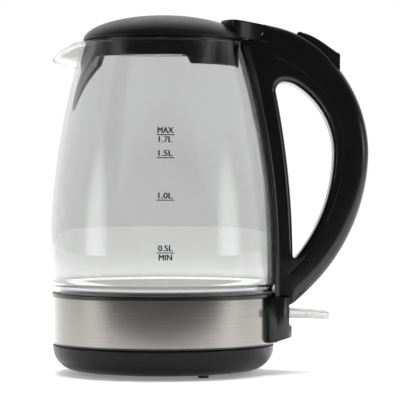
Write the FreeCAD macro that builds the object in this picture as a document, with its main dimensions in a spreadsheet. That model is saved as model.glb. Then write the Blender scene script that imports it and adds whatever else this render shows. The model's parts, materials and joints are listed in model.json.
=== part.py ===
import FreeCAD, Part
import math
import os

import Sketcher
from FreeCAD import Placement, Rotation, Vector

# Electric kettle: a glass jug that lifts off a round power base, with a hinged lid, a lid button in the
# handle and an on/off lever. Millimetres and degrees. The origin is on the jug's axis at the table,
# +X points to the handle, -X to the spout and +Z up.

SIZES = {
    # clearances
    "slide_gap": 0.3,
    "pin_gap": 0.05,
    "seat_gap": 0.3,
    # glass jug
    "jug_radius": 76.6,
    "jug_wall": 2.8,
    "shoulder_rise": 19.4,
    "jug_rise": 148.5,
    "neck_radius": 54.6,
    "glass_foot_inset": 2.2,
    "glass_foot_height": 2.2,
    "glass_foot_width": 3.0,
    # spout
    "spout_reach": 20.5,
    "spout_drop": 13.2,
    "spout_depth": 33.0,
    "spout_root_width": 48.0,
    "spout_middle_width": 28.0,
    "spout_tip_width": 12.0,
    # power base
    "base_inset": 1.5,
    "base_height": 17.2,
    "base_land": 1.2,
    "base_wall": 2.5,
    "edge_round": 0.6,
    "base_shelf": 3.1,
    "plate_thickness": 2.2,
    "foot_height": 2.4,
    "foot_radius": 3.5,
    "foot_inset": 5.5,
    "foot_angle": -57.5,
    "boss_radius": 3.6,
    "screw_inset": 11.0,
    "screw_radius": 1.4,
    "screw_head_radius": 2.6,
    "screw_head_height": 1.2,
    "screw_length": 9.0,
    "gland_height": 9.5,
    "gland_radius": 5.2,
    "gland_bore": 3.4,
    "gland_length": 14.5,
    "gland_flange": 7.2,
    "connector_radius": 20.0,
    "connector_rise": 13.8,
    "connector_flange": 24.0,
    "connector_wall": 3.0,
    "pin_socket": 3.4,
    "ring_socket_inner": 8.2,
    "ring_socket_outer": 11.0,
    "socket_depth": 13.0,
    "contact_wall": 0.8,
    # jug bottom
    "cover_inset": 0.5,
    "band_wall": 0.8,
    "band_height": 30.4,
    "rim_lip": 1.5,
    "floor_wall": 2.0,
    "well_radius": 20.8,
    "well_height": 16.0,
    "ring_overhang": 0.7,
    "ring_height": 3.0,
    "ring_skirt": 6.0,
    "ring_land": 7.2,
    "seal_lip": 0.8,
    "plate_rise": 2.1,
    "plate_gauge": 1.2,
    "heater_edge": 1.2,
    "spreader_radius": 47.0,
    "spreader_gauge": 3.0,
    "element_circle": 37.0,
    "element_radius": 3.4,
    "control_radius": 23.5,
    "control_drop": 4.6,
    "bimetal_radius": 9.0,
    "bimetal_height": 1.0,
    "contact_pin": 1.5,
    "contact_ring": 9.8,
    # handle
    "handle_width": 28.0,
    "handle_reach": 62.3,
    "grip_depth": 23.8,
    "cover_depth": 16.9,
    "handle_wall": 3.0,
    "handle_screw_length": 12.0,
    "screw_drop": 38.0,
    "screw_climb": 26.0,
    "outer_top_arc": 71.7,
    "outer_upper_arc": 93.4,
    "outer_lower_arc": 131.0,
    "seam_upper_arc": 67.5,
    "seam_lower_arc": 118.0,
    "hollow_climb": 36.0,
    "hollow_drop": 57.0,
    "strap_gap": 0.3,
    "strap_depth": 10.6,
    "opening_rise": 2.2,
    "opening_drop": 27.1,
    "opening_upper_arc": 54.5,
    "opening_lower_arc": 112.0,
    "opening_lead_arc": 16.0,
    "opening_corner_round": 5.8,
    "opening_tip_round": 1.3,
    "outer_edge_round": 6.5,
    "tube_radius": 2.4,
    "tube_wall": 0.7,
    # hinge, lid and collar
    "hinge_offset": 5.2,
    "hinge_rise": 9.1,
    "knuckle_radius": 7.9,
    "hinge_pin_radius": 1.0,
    "boss_eye_radius": 2.0,
    "boss_half_width": 4.0,
    "slot_half_width": 6.3,
    "lid_radius": 54.5,
    "lid_height": 17.1,
    "lid_wall": 2.2,
    "collar_radius": 51.3,
    "collar_wall": 2.5,
    "collar_flange": 53.2,
    "collar_depth": 17.0,
    "flange_height": 1.0,
    "plug_radius": 47.0,
    "plug_depth": 7.6,
    "plug_wall": 2.0,
    "gasket_proud": 1.0,
    "lid_screw_circle": 30.0,
    "arm_nose": 39.0,
    "arm_root_width": 43.0,
    # filter
    "filter_gap": 0.9,
    "filter_wall": 1.4,
    "filter_drop": 45.5,
    "filter_frame": 2.6,
    "mesh_wall": 0.4,
    # button, latch and lever
    "button_width": 16.4,
    "latch_width": 8.0,
    "latch_height": 1.8,
    "latch_rise": 0.9,
    "housing_width": 54.0,
    "housing_depth": 8.1,
    "housing_corner": 11.0,
    "insert_width": 49.6,
    "lever_width": 32.0,
    "lever_length": 34.3,
    "lever_gauge": 5.9,
    "lever_end_gauge": 4.8,
    "lever_drop": 12.2,
    "lever_pivot": 1.4,
    "lever_pin_radius": 1.5,
    "hub_radius": 4.0,
}

LEFT = 1
RIGHT = -1
FULL_TURN = 360.0

doc = FreeCAD.newDocument("electric_kettle")
parts = []


class Size:
    """A length or angle: its value now and the formula that gives it in the document."""

    def __init__(self, value, formula):
        self.value = float(value)
        self.formula = formula

    def __add__(self, other):
        other = as_size(other)
        return Size(self.value + other.value, f"({self.formula} + {other.formula})")

    def __radd__(self, other):
        return as_size(other) + self

    def __sub__(self, other):
        other = as_size(other)
        return Size(self.value - other.value, f"({self.formula} - {other.formula})")

    def __rsub__(self, other):
        return as_size(other) - self

    def __mul__(self, other):
        other = as_size(other)
        return Size(self.value * other.value, f"({self.formula} * {other.formula})")

    def __rmul__(self, other):
        return as_size(other) * self

    def __truediv__(self, other):
        other = as_size(other)
        return Size(self.value / other.value, f"({self.formula} / {other.formula})")

    def __neg__(self):
        return Size(-self.value, f"(0 - {self.formula})")


def as_size(number):
    """A plain number as a size."""
    return number if isinstance(number, Size) else Size(number, f"({float(number)!r})")


def root(size):
    """The square root of a size."""
    return Size(math.sqrt(size.value), f"sqrt({size.formula})")


def along(length, angle):
    """How far a length at an angle in degrees reaches along the first axis, and along the second."""
    angle = as_size(angle)
    turn = math.radians(angle.value)
    return (
        length * Size(math.cos(turn), f"cos({angle.formula})"),
        length * Size(math.sin(turn), f"sin({angle.formula})"),
    )


class Sheet:
    """The spreadsheet of driving dimensions; each is read as an attribute."""

    def __init__(self, sizes):
        self.cells = doc.addObject("Spreadsheet::Sheet", "Sizes")
        for row, (name, value) in enumerate(sizes.items(), 1):
            self.cells.set(f"A{row}", name)
            self.cells.set(f"B{row}", str(value))
            self.cells.setAlias(f"B{row}", name)
            setattr(self, name, Size(value, f"Sizes.{name}"))
        self.worked_out = doc.addObject("App::VarSet", "WorkedOut")
        doc.recompute()

    def keep(self, name, size):
        """Give a worked-out size a name of its own in the document."""
        self.worked_out.addProperty("App::PropertyFloat", name)
        self.worked_out.setExpression(name, size.formula)
        doc.recompute()
        kept = Size(size.value, f"WorkedOut.{name}")
        setattr(self, name, kept)


d = Sheet(SIZES)

# heights, from the table up
d.keep("base_radius", d.jug_radius - d.base_inset)
d.keep("ring_inner", d.jug_radius - d.ring_land)
d.keep("base_top", d.foot_height + d.base_height)
d.keep("base_round", d.base_height - d.base_land)
d.keep("plate_radius", d.base_radius - d.base_round - d.base_shelf)
d.keep("foot_circle", d.plate_radius - d.foot_inset)
d.keep("screw_circle", d.plate_radius - d.screw_inset)
d.keep("jug_floor", d.base_top + d.seat_gap)
d.keep("band_bottom", d.jug_floor + d.rim_lip)
d.keep("band_top", d.band_bottom + d.band_height)
d.keep("ring_top", d.band_top + d.ring_height)
d.keep("glass_bottom", d.ring_top + d.seal_lip)
d.keep("shoulder_height", d.glass_bottom + d.shoulder_rise)
d.keep("rim_height", d.shoulder_height + d.jug_rise)
d.keep("flange_top", d.rim_height + d.flange_height)
d.keep("lid_base", d.flange_top + d.seat_gap)
d.keep("plate_top", d.glass_bottom + d.plate_rise)
d.keep("well_top", d.jug_floor + d.well_height)
d.keep("spreader_bottom", d.plate_top - d.plate_gauge - d.spreader_gauge)
d.keep("control_top", d.spreader_bottom - d.control_drop)
d.keep("cover_plate_top", d.foot_height + d.plate_thickness)

# the leaning wall is one arc, upright at the shoulder
lean = d.jug_radius - d.neck_radius
d.keep("wall_arc", (lean * lean + d.jug_rise * d.jug_rise) / (2 * lean))
d.keep("wall_centre", d.jug_radius - d.wall_arc)

# hinge and handle datums
d.keep("hinge_x", d.neck_radius + d.hinge_offset)
d.keep("hinge_z", d.rim_height + d.hinge_rise)
d.keep("grip_x", d.jug_radius + d.handle_reach)
d.keep("opening_low", d.shoulder_height + d.opening_rise)
d.keep("opening_high", d.rim_height - d.opening_drop)
d.keep("middle_z", d.shoulder_height + 0.5 * d.jug_rise + 0.25)
d.keep("arm_bottom", d.rim_height + 2.3)
d.keep("strap_top", d.rim_height + 1.5)
d.keep("housing_back", d.jug_radius + d.housing_depth)
d.keep("strap_back", d.jug_radius + d.strap_gap + d.strap_depth)
d.keep("lever_x", d.jug_radius + d.lever_pivot)
d.keep("lever_height", d.band_top - d.lever_drop)


def wall_radius(height, inset=0.0):
    """The radius of the leaning glass wall at a height, moved inwards by an inset."""
    arc = d.wall_arc - inset
    rise = height - d.shoulder_height
    return d.wall_centre + root(arc * arc - rise * rise)


# --- drawing and features -------------------------------------------------------------------------


def new_body(name):
    """A body for one sub-part, labelled with the name of its file."""
    body = doc.addObject("PartDesign::Body", name)
    body.Label = name
    parts.append(body)
    return body


def origin_feature(body, role):
    """The plane or axis of a body's origin with this role."""
    return next(f for f in body.Origin.OriginFeatures if f.Role == role)


def new_sketch(body, plane, lift=0.0):
    """An empty sketch on one of the body's origin planes, moved along the plane's normal."""
    sketch = body.newObject("Sketcher::SketchObject", "Sketch")
    sketch.AttachmentSupport = [(origin_feature(body, plane), "")]
    sketch.MapMode = "FlatFace"
    lift = as_size(lift)
    sketch.AttachmentOffset = Placement(Vector(0, 0, lift.value), Rotation())
    sketch.setExpression("AttachmentOffset.Base.z", lift.formula)
    return sketch


def bind(sketch, kind, *where, size):
    """One dimension of a sketch, held to its formula."""
    size = as_size(size)
    index = sketch.addConstraint(Sketcher.Constraint(kind, *where, size.value))
    sketch.setExpression(f"Constraints[{index}]", size.formula)


def pin_point(sketch, curve, end, across, up):
    """Hold one end of a curve, or a circle's centre, at a place in the sketch."""
    bind(sketch, "DistanceX", -1, 1, curve, end, size=across)
    bind(sketch, "DistanceY", -1, 1, curve, end, size=up)


def arc_through(start, end, radius, side):
    """The short arc from start to end that turns to this side."""
    chord = end - start
    square = Vector(-chord.y, chord.x, 0).normalize()
    reach = math.sqrt(max(radius**2 - (chord.Length / 2) ** 2, 0.0))
    circle = Part.Circle((start + end) * 0.5 + square * (side * reach), Vector(0, 0, 1), radius)
    first, last = (start, end) if side == LEFT else (end, start)
    return Part.ArcOfCircle(circle, circle.parameter(first), circle.parameter(last))


def add_curve(sketch, points):
    """A cubic curve pulled towards its two middle points, which are held to their formulas."""
    places = [Vector(as_size(x).value, as_size(y).value, 0) for x, y in points]
    spline = Part.BSplineCurve()
    spline.buildFromPolesMultsKnots(places, [4, 4], [0, 1], False, 3)
    curve = sketch.addGeometry(spline)
    for index, (place, (across, up)) in enumerate(zip(places, points)):
        pole = sketch.addGeometry(Part.Circle(place, Vector(0, 0, 1), 1.0), True)
        kind = "InternalAlignment:Sketcher::BSplineControlPoint"
        sketch.addConstraint(Sketcher.Constraint(kind, pole, 3, curve, index))
        if index in (1, 2):
            pin_point(sketch, pole, 3, across, up)
    return curve


def draw(sketch, start, *legs):
    """A closed outline from start through the end of each leg, and straight back to start.

    A leg is (x, y) for a straight run, (x, y, radius, side) for an arc that turns LEFT or RIGHT, and
    (x, y, pull, pull) for a curve drawn towards two points.
    """
    here = start
    ends = []
    for leg in (*legs, start):
        there = (leg[0], leg[1])
        first = Vector(as_size(here[0]).value, as_size(here[1]).value, 0)
        last = Vector(as_size(there[0]).value, as_size(there[1]).value, 0)
        if leg is start and (last - first).Length < 1e-6:
            break
        if len(leg) == 2:
            curve = sketch.addGeometry(Part.LineSegment(first, last))
            ends.append((curve, 1, 2, here))
        elif isinstance(leg[2], tuple):
            curve = add_curve(sketch, [here, leg[2], leg[3], there])
            ends.append((curve, 1, 2, here))
        else:
            side = leg[3]
            curve = sketch.addGeometry(arc_through(first, last, as_size(leg[2]).value, side))
            bind(sketch, "Radius", curve, size=leg[2])
            ends.append((curve, 1, 2, here) if side == LEFT else (curve, 2, 1, here))
        here = there
    for index, (curve, begin, _, place) in enumerate(ends):
        before, _, finish, _ = ends[index - 1]
        sketch.addConstraint(Sketcher.Constraint("Coincident", before, finish, curve, begin))
        pin_point(sketch, curve, begin, *place)
    return sketch


def draw_circle(sketch, across, up, radius):
    """A circle held at a place."""
    place = Vector(as_size(across).value, as_size(up).value, 0)
    curve = sketch.addGeometry(Part.Circle(place, Vector(0, 0, 1), as_size(radius).value))
    pin_point(sketch, curve, 3, across, up)
    bind(sketch, "Radius", curve, size=radius)
    return sketch


def draw_box(sketch, left, right, low, high):
    """An upright rectangle."""
    return draw(sketch, (left, low), (right, low), (right, high), (left, high))


def tip_volume(body):
    """The volume of the body so far."""
    doc.recompute()
    return body.Shape.Volume if body.Tip else 0.0


def settle(body, before, adds):
    """Recompute, and stop if the last feature failed or changed nothing."""
    after = tip_volume(body)
    if "Invalid" in body.Tip.State or "Error" in body.Tip.State:
        raise RuntimeError(f"{body.Label}: {body.Tip.Name} failed")
    if (after - before) * (1 if adds else -1) <= 0:
        raise RuntimeError(f"{body.Label}: {body.Tip.Name} changed nothing: {before} to {after}")
    return body.Tip


def extrude(body, kind, sketch, length, both_ways=False, reverse=False):
    """A pad or a pocket of a sketch."""
    before = tip_volume(body)
    feature = body.newObject(f"PartDesign::{kind}", kind)
    feature.Profile = sketch
    feature.SideType = "Symmetric" if both_ways else "One side"
    feature.Reversed = reverse
    length = as_size(length)
    feature.Length = length.value
    feature.setExpression("Length", length.formula)
    return settle(body, before, kind == "Pad")


def pad(body, sketch, length, **options):
    """Material along the sketch's normal."""
    return extrude(body, "Pad", sketch, length, **options)


def pocket(body, sketch, length, **options):
    """A cut against the sketch's normal."""
    return extrude(body, "Pocket", sketch, length, **options)


def turn(body, kind, sketch, angle=FULL_TURN):
    """A revolution or a groove about the sketch's vertical axis."""
    before = tip_volume(body)
    feature = body.newObject(f"PartDesign::{kind}", kind)
    feature.Profile = sketch
    feature.ReferenceAxis = (sketch, ["V_Axis"])
    feature.Midplane = angle != FULL_TURN
    feature.Angle = angle
    return settle(body, before, kind == "Revolution")


def loft(body, kind, sections):
    """A loft through sketches, added or cut."""
    before = tip_volume(body)
    feature = body.newObject(f"PartDesign::{kind}", kind)
    feature.Profile = sections[0]
    feature.Sections = sections[1:]
    return settle(body, before, kind == "AdditiveLoft")


def repeat_round(body, feature, count, adds=True):
    """Copies of a feature, evenly round the jug's axis."""
    before = tip_volume(body)
    pattern = body.newObject("PartDesign::PolarPattern", "PolarPattern")
    pattern.Originals = [feature]
    pattern.Axis = (origin_feature(body, "Z_Axis"), [""])
    pattern.Angle = FULL_TURN
    pattern.Occurrences = count
    body.Tip = pattern
    return settle(body, before, adds)


def round_edges(body, radius, wanted):
    """Round each edge of the body that the test picks."""
    doc.recompute()
    tip = body.Tip
    names = [f"Edge{n}" for n, edge in enumerate(tip.Shape.Edges, 1) if wanted(edge)]
    fillet = body.newObject("PartDesign::Fillet", "Fillet")
    fillet.Base = (tip, names)
    radius = as_size(radius)
    fillet.Radius = radius.value
    fillet.setExpression("Radius", radius.formula)
    doc.recompute()
    if not names or "Invalid" in fillet.State or fillet.Shape.isNull():
        raise RuntimeError(f"{body.Label}: rounding {len(names)} edges failed")
    return fillet


def middle(edge):
    """The middle point of an edge."""
    return edge.valueAt((edge.FirstParameter + edge.LastParameter) / 2)


def coil(body, sketch, pitch, height):
    """A spring: a wire's section turned up the Z axis."""
    feature = body.newObject("PartDesign::AdditiveHelix", "AdditiveHelix")
    feature.Profile = sketch
    feature.ReferenceAxis = (sketch, ["V_Axis"])
    feature.Mode = "pitch-height-angle"
    feature.Pitch = pitch
    feature.Height = height
    return settle(body, 0.0, True)


def ring(name, *outlines):
    """A body turned from outlines in the XZ plane."""
    body = new_body(name)
    sketch = new_sketch(body, "XZ_Plane")
    for outline in outlines:
        draw(sketch, *outline)
    turn(body, "Revolution", sketch)
    return body


def tube_outline(inner, outer, low, high):
    """The four corners of a plain tube's section."""
    return ((inner, low), (outer, low), (outer, high), (inner, high))


def screws(name, circle, angle, count, head_low, length, points_up=True):
    """Identical pan-head screws, evenly round the jug's axis."""
    body = new_body(name)
    across, along_y = along(circle, angle)
    head = new_sketch(body, "XY_Plane", head_low)
    draw_circle(head, across, along_y, d.screw_head_radius)
    pad(body, head, d.screw_head_height)
    shank_low = head_low + d.screw_head_height if points_up else head_low - length
    shank = new_sketch(body, "XY_Plane", shank_low)
    draw_circle(shank, across, along_y, d.screw_radius)
    pad(body, shank, length)
    before = tip_volume(body)
    pattern = body.newObject("PartDesign::PolarPattern", "PolarPattern")
    pattern.Originals = [f for f in body.Group if f.TypeId == "PartDesign::Pad"]
    pattern.Axis = (origin_feature(body, "Z_Axis"), [""])
    pattern.Angle = FULL_TURN
    pattern.Occurrences = count
    body.Tip = pattern
    settle(body, before, True)
    return body


# --- power base -----------------------------------------------------------------------------------

FEET = 3
BASE_SCREW_ANGLE = 2.5


def base_cover():
    """The bowl-shaped upper shell, with screw bosses and the hole for the cord gland."""
    flat = d.base_radius - d.base_round
    bend = d.foot_height + d.base_round
    ceiling = d.base_top - d.base_wall
    inner_round = d.base_round - d.base_wall
    inner = flat + root(inner_round * inner_round - (bend - ceiling) * (bend - ceiling))
    opening = d.plate_radius + d.slide_gap
    hole = d.connector_radius + d.slide_gap
    body = ring(
        "base_cover",
        (
            (opening, d.foot_height),
            (flat, d.foot_height),
            (d.base_radius, bend, d.base_round, LEFT),
            (d.base_radius, d.base_top - d.edge_round),
            (d.base_radius - d.edge_round, d.base_top, d.edge_round, LEFT),
            (hole, d.base_top),
            (hole, ceiling),
            (inner, ceiling),
            (flat, d.foot_height + d.base_wall, inner_round, RIGHT),
            (opening, d.foot_height + d.base_wall),
        ),
    )
    across, along_y = along(d.screw_circle, BASE_SCREW_ANGLE)
    boss = new_sketch(body, "XY_Plane", d.cover_plate_top)
    draw_circle(boss, across, along_y, d.boss_radius)
    boss = pad(body, boss, ceiling - d.cover_plate_top + 0.5 * d.base_wall)
    repeat_round(body, boss, FEET)
    hole = new_sketch(body, "XY_Plane", d.cover_plate_top)
    draw_circle(hole, across, along_y, d.screw_radius)
    hole = pocket(body, hole, d.screw_length, reverse=True)
    repeat_round(body, hole, FEET, adds=False)
    gland = new_sketch(body, "XZ_Plane", -d.plate_radius)
    draw_circle(gland, 0, d.gland_height, d.gland_radius)
    pocket(body, gland, d.base_radius - d.plate_radius + 1)


def base_plate():
    """The flat bottom, with a counterbored hole for each screw."""
    body = new_body("base_plate")
    disc = new_sketch(body, "XY_Plane", d.foot_height)
    pad(body, draw_circle(disc, 0, 0, d.plate_radius), d.plate_thickness)
    across, along_y = along(d.screw_circle, BASE_SCREW_ANGLE)
    steps = (
        (d.screw_radius + d.pin_gap, d.plate_thickness),
        (d.screw_head_radius + d.slide_gap, d.screw_head_height),
    )
    for radius, depth in steps:
        hole = new_sketch(body, "XY_Plane", d.foot_height)
        draw_circle(hole, across, along_y, radius)
        hole = pocket(body, hole, depth, reverse=True)
        repeat_round(body, hole, FEET, adds=False)


def base_feet():
    """The rubber feet, one group of separate discs."""
    body = new_body("base_feet")
    across, along_y = along(d.foot_circle, d.foot_angle)
    foot = draw_circle(new_sketch(body, "XY_Plane"), across, along_y, d.foot_radius)
    foot = pad(body, foot, d.foot_height)
    repeat_round(body, foot, FEET)


def cord_gland():
    """The bushing that the mains cord passes through, at the back of the base."""
    body = new_body("cord_gland")
    low = d.plate_radius + 4
    outer = new_sketch(body, "XZ_Plane", -low)
    pad(body, draw_circle(outer, 0, d.gland_height, d.gland_radius), d.gland_length, reverse=True)
    flange = new_sketch(body, "XZ_Plane", -low)
    flange_low = d.gland_height - 3.0
    draw_box(flange, -d.gland_flange, d.gland_flange, flange_low, flange_low + 8.5)
    pad(body, flange, 2.0, reverse=True)
    bore = new_sketch(body, "XZ_Plane", -low)
    pocket(body, draw_circle(bore, 0, d.gland_height, d.gland_bore), d.gland_length)


def base_connector():
    """The round post that the jug stands over and swivels on."""
    low = d.cover_plate_top + d.slide_gap
    high = d.base_top + d.connector_rise
    ceiling = d.base_top - d.base_wall - d.slide_gap
    floor = high - d.socket_depth
    wall = d.connector_radius - d.connector_wall
    ring(
        "base_connector",
        (
            (wall, low),
            (d.connector_flange, low),
            (d.connector_flange, ceiling),
            (d.connector_radius, ceiling),
            (d.connector_radius, high - 1.5),
            (d.connector_radius - 1.5, high, 1.5, LEFT),
            (d.ring_socket_outer, high),
            (d.ring_socket_outer, floor),
            (d.ring_socket_inner, floor),
            (d.ring_socket_inner, high),
            (d.pin_socket, high),
            (d.pin_socket, floor),
            (0, floor),
            (0, floor - d.connector_wall),
            (wall, floor - d.connector_wall),
        ),
    )


def base_contacts():
    """The pin sleeve and ring sleeve that carry the mains into the jug."""
    high = d.base_top + d.connector_rise
    floor = high - d.socket_depth
    ring(
        "base_contacts",
        tube_outline(d.pin_socket - d.contact_wall, d.pin_socket, floor, high - 3),
        tube_outline(d.ring_socket_outer - d.contact_wall, d.ring_socket_outer, floor, high - 2),
    )


# --- jug ------------------------------------------------------------------------------------------


def glass_wall_outline(inset, low, high):
    """The section from the axis to the glass wall, moved inwards by an inset."""
    return (
        (0, low),
        (d.jug_radius - inset, low),
        (d.jug_radius - inset, d.shoulder_height),
        (wall_radius(high, inset), high, d.wall_arc - inset, LEFT),
        (0, high),
    )


def spout_section(body, across, half_width, low):
    """A U-shaped section of the spout, open upwards past the rim."""
    sketch = new_sketch(body, "YZ_Plane", across)
    high = d.rim_height + 3
    return draw(
        sketch,
        (-half_width, high),
        (-half_width, low + half_width),
        (0, low, half_width, LEFT),
        (half_width, low + half_width, half_width, LEFT),
        (half_width, high),
    )


def spout_sections(body, inset):
    """The spout from inside the neck to its tip, moved inwards by an inset."""
    tip = -d.neck_radius - d.spout_reach
    low = d.rim_height - d.spout_depth
    tip_low = d.rim_height - d.spout_drop - 1.6
    middle = -d.neck_radius - 5.4
    return [
        spout_section(body, -d.neck_radius + 11, 0.5 * d.spout_root_width - inset, low + inset),
        spout_section(body, middle, 0.5 * d.spout_middle_width - inset, tip_low - 3.4 + inset),
        spout_section(body, tip + 0.3, 0.5 * d.spout_tip_width - inset, tip_low + 0.8 * inset),
    ]


def glass_jug():
    """The borosilicate jug: a leaning wall with a pulled spout, open at the top and the foot."""
    body = new_body("glass_jug")
    foot_outer = d.jug_radius - d.glass_foot_inset
    foot_top = d.glass_bottom + d.glass_foot_height
    outer = new_sketch(body, "XZ_Plane")
    draw(
        outer,
        (0, d.glass_bottom),
        (foot_outer, d.glass_bottom),
        (foot_outer, foot_top),
        (d.jug_radius, foot_top + d.glass_foot_inset, d.glass_foot_inset, LEFT),
        (d.jug_radius, d.shoulder_height),
        (d.neck_radius, d.rim_height, d.wall_arc, LEFT),
        (0, d.rim_height),
    )
    turn(body, "Revolution", outer)
    loft(body, "AdditiveLoft", spout_sections(body, 0.0))
    foot_inner = foot_outer - d.glass_foot_width
    inner_radius = d.jug_radius - d.jug_wall
    inner = new_sketch(body, "XZ_Plane")
    draw(
        inner,
        (0, d.glass_bottom),
        (foot_inner, d.glass_bottom),
        (foot_inner, foot_top),
        (inner_radius, foot_top + 3, inner_radius - foot_inner + 1, LEFT),
        (inner_radius, d.shoulder_height),
        (wall_radius(d.rim_height, d.jug_wall), d.rim_height, d.wall_arc - d.jug_wall, LEFT),
        (0, d.rim_height),
    )
    turn(body, "Groove", inner)
    loft(body, "SubtractiveLoft", spout_sections(body, 2.6))
    tip = -d.neck_radius - d.spout_reach
    trim = new_sketch(body, "XZ_Plane")
    draw(
        trim,
        (-d.neck_radius + 30, d.rim_height),
        (-d.neck_radius - 1.5, d.rim_height),
        (tip, d.rim_height - d.spout_drop, 24.0, RIGHT),
        (tip - 5, d.rim_height - d.spout_drop),
        (tip - 5, d.rim_height + 10),
        (-d.neck_radius + 30, d.rim_height + 10),
    )
    pocket(body, trim, 3 * d.spout_root_width, both_ways=True)


def glass_seal():
    """The silicone ring under the glass foot and round the heater plate."""
    foot_outer = d.jug_radius - d.glass_foot_inset
    foot_inner = foot_outer - d.glass_foot_width
    plate = foot_inner - d.heater_edge
    ring(
        "glass_seal",
        (
            (d.ring_inner, d.ring_top),
            (foot_outer, d.ring_top),
            (foot_outer, d.glass_bottom),
            (foot_inner, d.glass_bottom),
            (foot_inner, d.plate_top),
            (plate, d.plate_top),
            (plate, d.plate_top - d.plate_gauge),
            (d.ring_inner, d.plate_top - d.plate_gauge),
        ),
    )


def heater_plate():
    """The stainless floor of the jug."""
    radius = d.jug_radius - d.glass_foot_inset - d.glass_foot_width - d.heater_edge
    ring("heater_plate", tube_outline(0, radius, d.plate_top - d.plate_gauge, d.plate_top))


def heat_spreader():
    """The aluminium disc under the heater plate."""
    high = d.spreader_bottom + d.spreader_gauge
    ring("heat_spreader", tube_outline(0, d.spreader_radius, d.spreader_bottom, high))


def heating_element():
    """The sheathed element: most of a circle, with an end standing down on each side of the gap."""
    body = new_body("heating_element")
    axis_height = d.spreader_bottom - d.element_radius
    section = new_sketch(body, "XZ_Plane")
    draw_circle(section, d.element_circle, axis_height, d.element_radius)
    turn(body, "Revolution", section, angle=310.0)
    for side in (-1, 1):
        across, along_y = along(d.element_circle, side * 152.0)
        stub = new_sketch(body, "XY_Plane", axis_height - 12)
        pad(body, draw_circle(stub, across, along_y, 0.7 * d.element_radius), 12.0)


def control_unit():
    """The thermostat block that closes the well under the heater."""
    top = d.control_top
    body = ring(
        "control_unit",
        (
            (0, d.well_top),
            (d.control_radius, d.well_top),
            (d.control_radius, d.well_top + 4),
            (d.control_radius - 4, d.well_top + 4),
            (d.control_radius - 4, top),
            (0, top),
        ),
    )
    lug = new_sketch(body, "XY_Plane", top - 3)
    across, along_y = along(d.control_radius + 2, 0.0)
    lug = pad(body, draw_circle(lug, across, along_y, 2 * d.boss_radius), 3.0)
    repeat_round(body, lug, 3)
    hole = new_sketch(body, "XY_Plane", top)
    hole = pocket(body, draw_circle(hole, across, along_y, d.screw_radius + d.pin_gap), 3.0)
    repeat_round(body, hole, 3, adds=False)


def bimetal_disc():
    """The snap disc that cuts the power if the jug boils dry."""
    high = d.control_top + d.bimetal_height
    ring("bimetal_disc", tube_outline(0, d.bimetal_radius, d.control_top, high))


def jug_contacts():
    """The pin and ring under the control unit that enter the base connector."""
    low = d.base_top + d.connector_rise - d.socket_depth + 2
    ring(
        "jug_contacts",
        tube_outline(0, d.contact_pin, low, d.well_top),
        tube_outline(d.contact_ring - d.contact_wall, d.contact_ring, low, d.well_top),
    )


def control_screws():
    """The screws that hold the control unit up to the heat spreader."""
    head = d.control_top - 3 - d.screw_head_height
    gap = d.spreader_bottom - head - d.screw_head_height
    screws("control_screws", d.control_radius + 2, 0.0, 3, head, gap)


def jug_bottom_cover():
    """The black underside of the jug, with the well that fits over the base connector."""
    rim = d.base_radius - d.cover_inset
    band_inner = d.base_radius - d.band_wall
    floor = d.jug_floor + d.floor_wall
    body = ring(
        "jug_bottom_cover",
        (
            (d.well_radius, d.jug_floor),
            (rim - d.edge_round, d.jug_floor),
            (rim, d.jug_floor + d.edge_round, d.edge_round, LEFT),
            (rim, d.band_bottom),
            (band_inner, d.band_bottom),
            (band_inner, d.band_bottom + 6),
            (band_inner - 2, d.band_bottom + 6),
            (band_inner - 2, floor),
            (d.well_radius + d.floor_wall, floor),
            (d.well_radius + d.floor_wall, d.well_top),
            (d.well_radius, d.well_top),
        ),
    )
    housing_gap(body, d.band_bottom, d.band_bottom + 7)


def housing_gap(body, low, high):
    """Cut the room for the switch housing's insert out of a ring."""
    gap = new_sketch(body, "YZ_Plane", d.base_radius + 5)
    half = 0.5 * d.insert_width + d.slide_gap
    draw_box(gap, -half, half, low, high)
    pocket(body, gap, 0.5 * d.base_radius)


def steel_band():
    """The brushed steel band, open at the back where the switch housing stands."""
    inner = d.base_radius - d.band_wall
    body = ring("steel_band", tube_outline(inner, d.base_radius, d.band_bottom, d.band_top))
    housing_gap(body, d.band_bottom - 1, d.band_top + 1)


def upper_ring():
    """The black ring between the steel band and the glass."""
    outer = d.base_radius + d.ring_overhang
    band_inner = d.base_radius - d.band_wall
    skirt = d.band_top - d.ring_skirt
    body = ring(
        "upper_ring",
        (
            (d.ring_inner, d.band_top),
            (band_inner - 2, d.band_top),
            (band_inner - 2, skirt),
            (band_inner, skirt),
            (band_inner, d.band_top),
            (outer - d.edge_round, d.band_top),
            (outer, d.band_top + d.edge_round, d.edge_round, LEFT),
            (outer, d.ring_top - d.edge_round),
            (outer - d.edge_round, d.ring_top, d.edge_round, LEFT),
            (d.ring_inner, d.ring_top),
        ),
    )
    housing_gap(body, skirt - 1, d.band_top)


# --- handle ---------------------------------------------------------------------------------------


def handle_points():
    """The places that the handle's mouldings share, in the XZ plane."""
    upper = d.middle_z
    top = d.rim_height
    return {
        "outer_middle": (d.grip_x, upper),
        "outer_shoulder": (d.grip_x - 26.1, top - 10.7),
        "outer_end": (d.jug_radius + 12.1, d.band_top - 4.0),
        "seam_middle": (d.grip_x - d.cover_depth, upper),
        "seam_top": (d.neck_radius + 23.4, top - 11.9),
        "seam_step": (d.neck_radius + 18.8, top - 7.7),
        "seam_corner": (d.neck_radius + 16.3, top - 0.8),
        "seam_low": (d.housing_back, d.ring_top + 12.4),
        "opening_middle": (d.grip_x - d.grip_depth, upper),
        "opening_low": (d.strap_back + 2.4, d.opening_low + 1.4),
        "opening_lead": (d.neck_radius + 36.9, d.opening_high - 3.5),
    }


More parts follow.
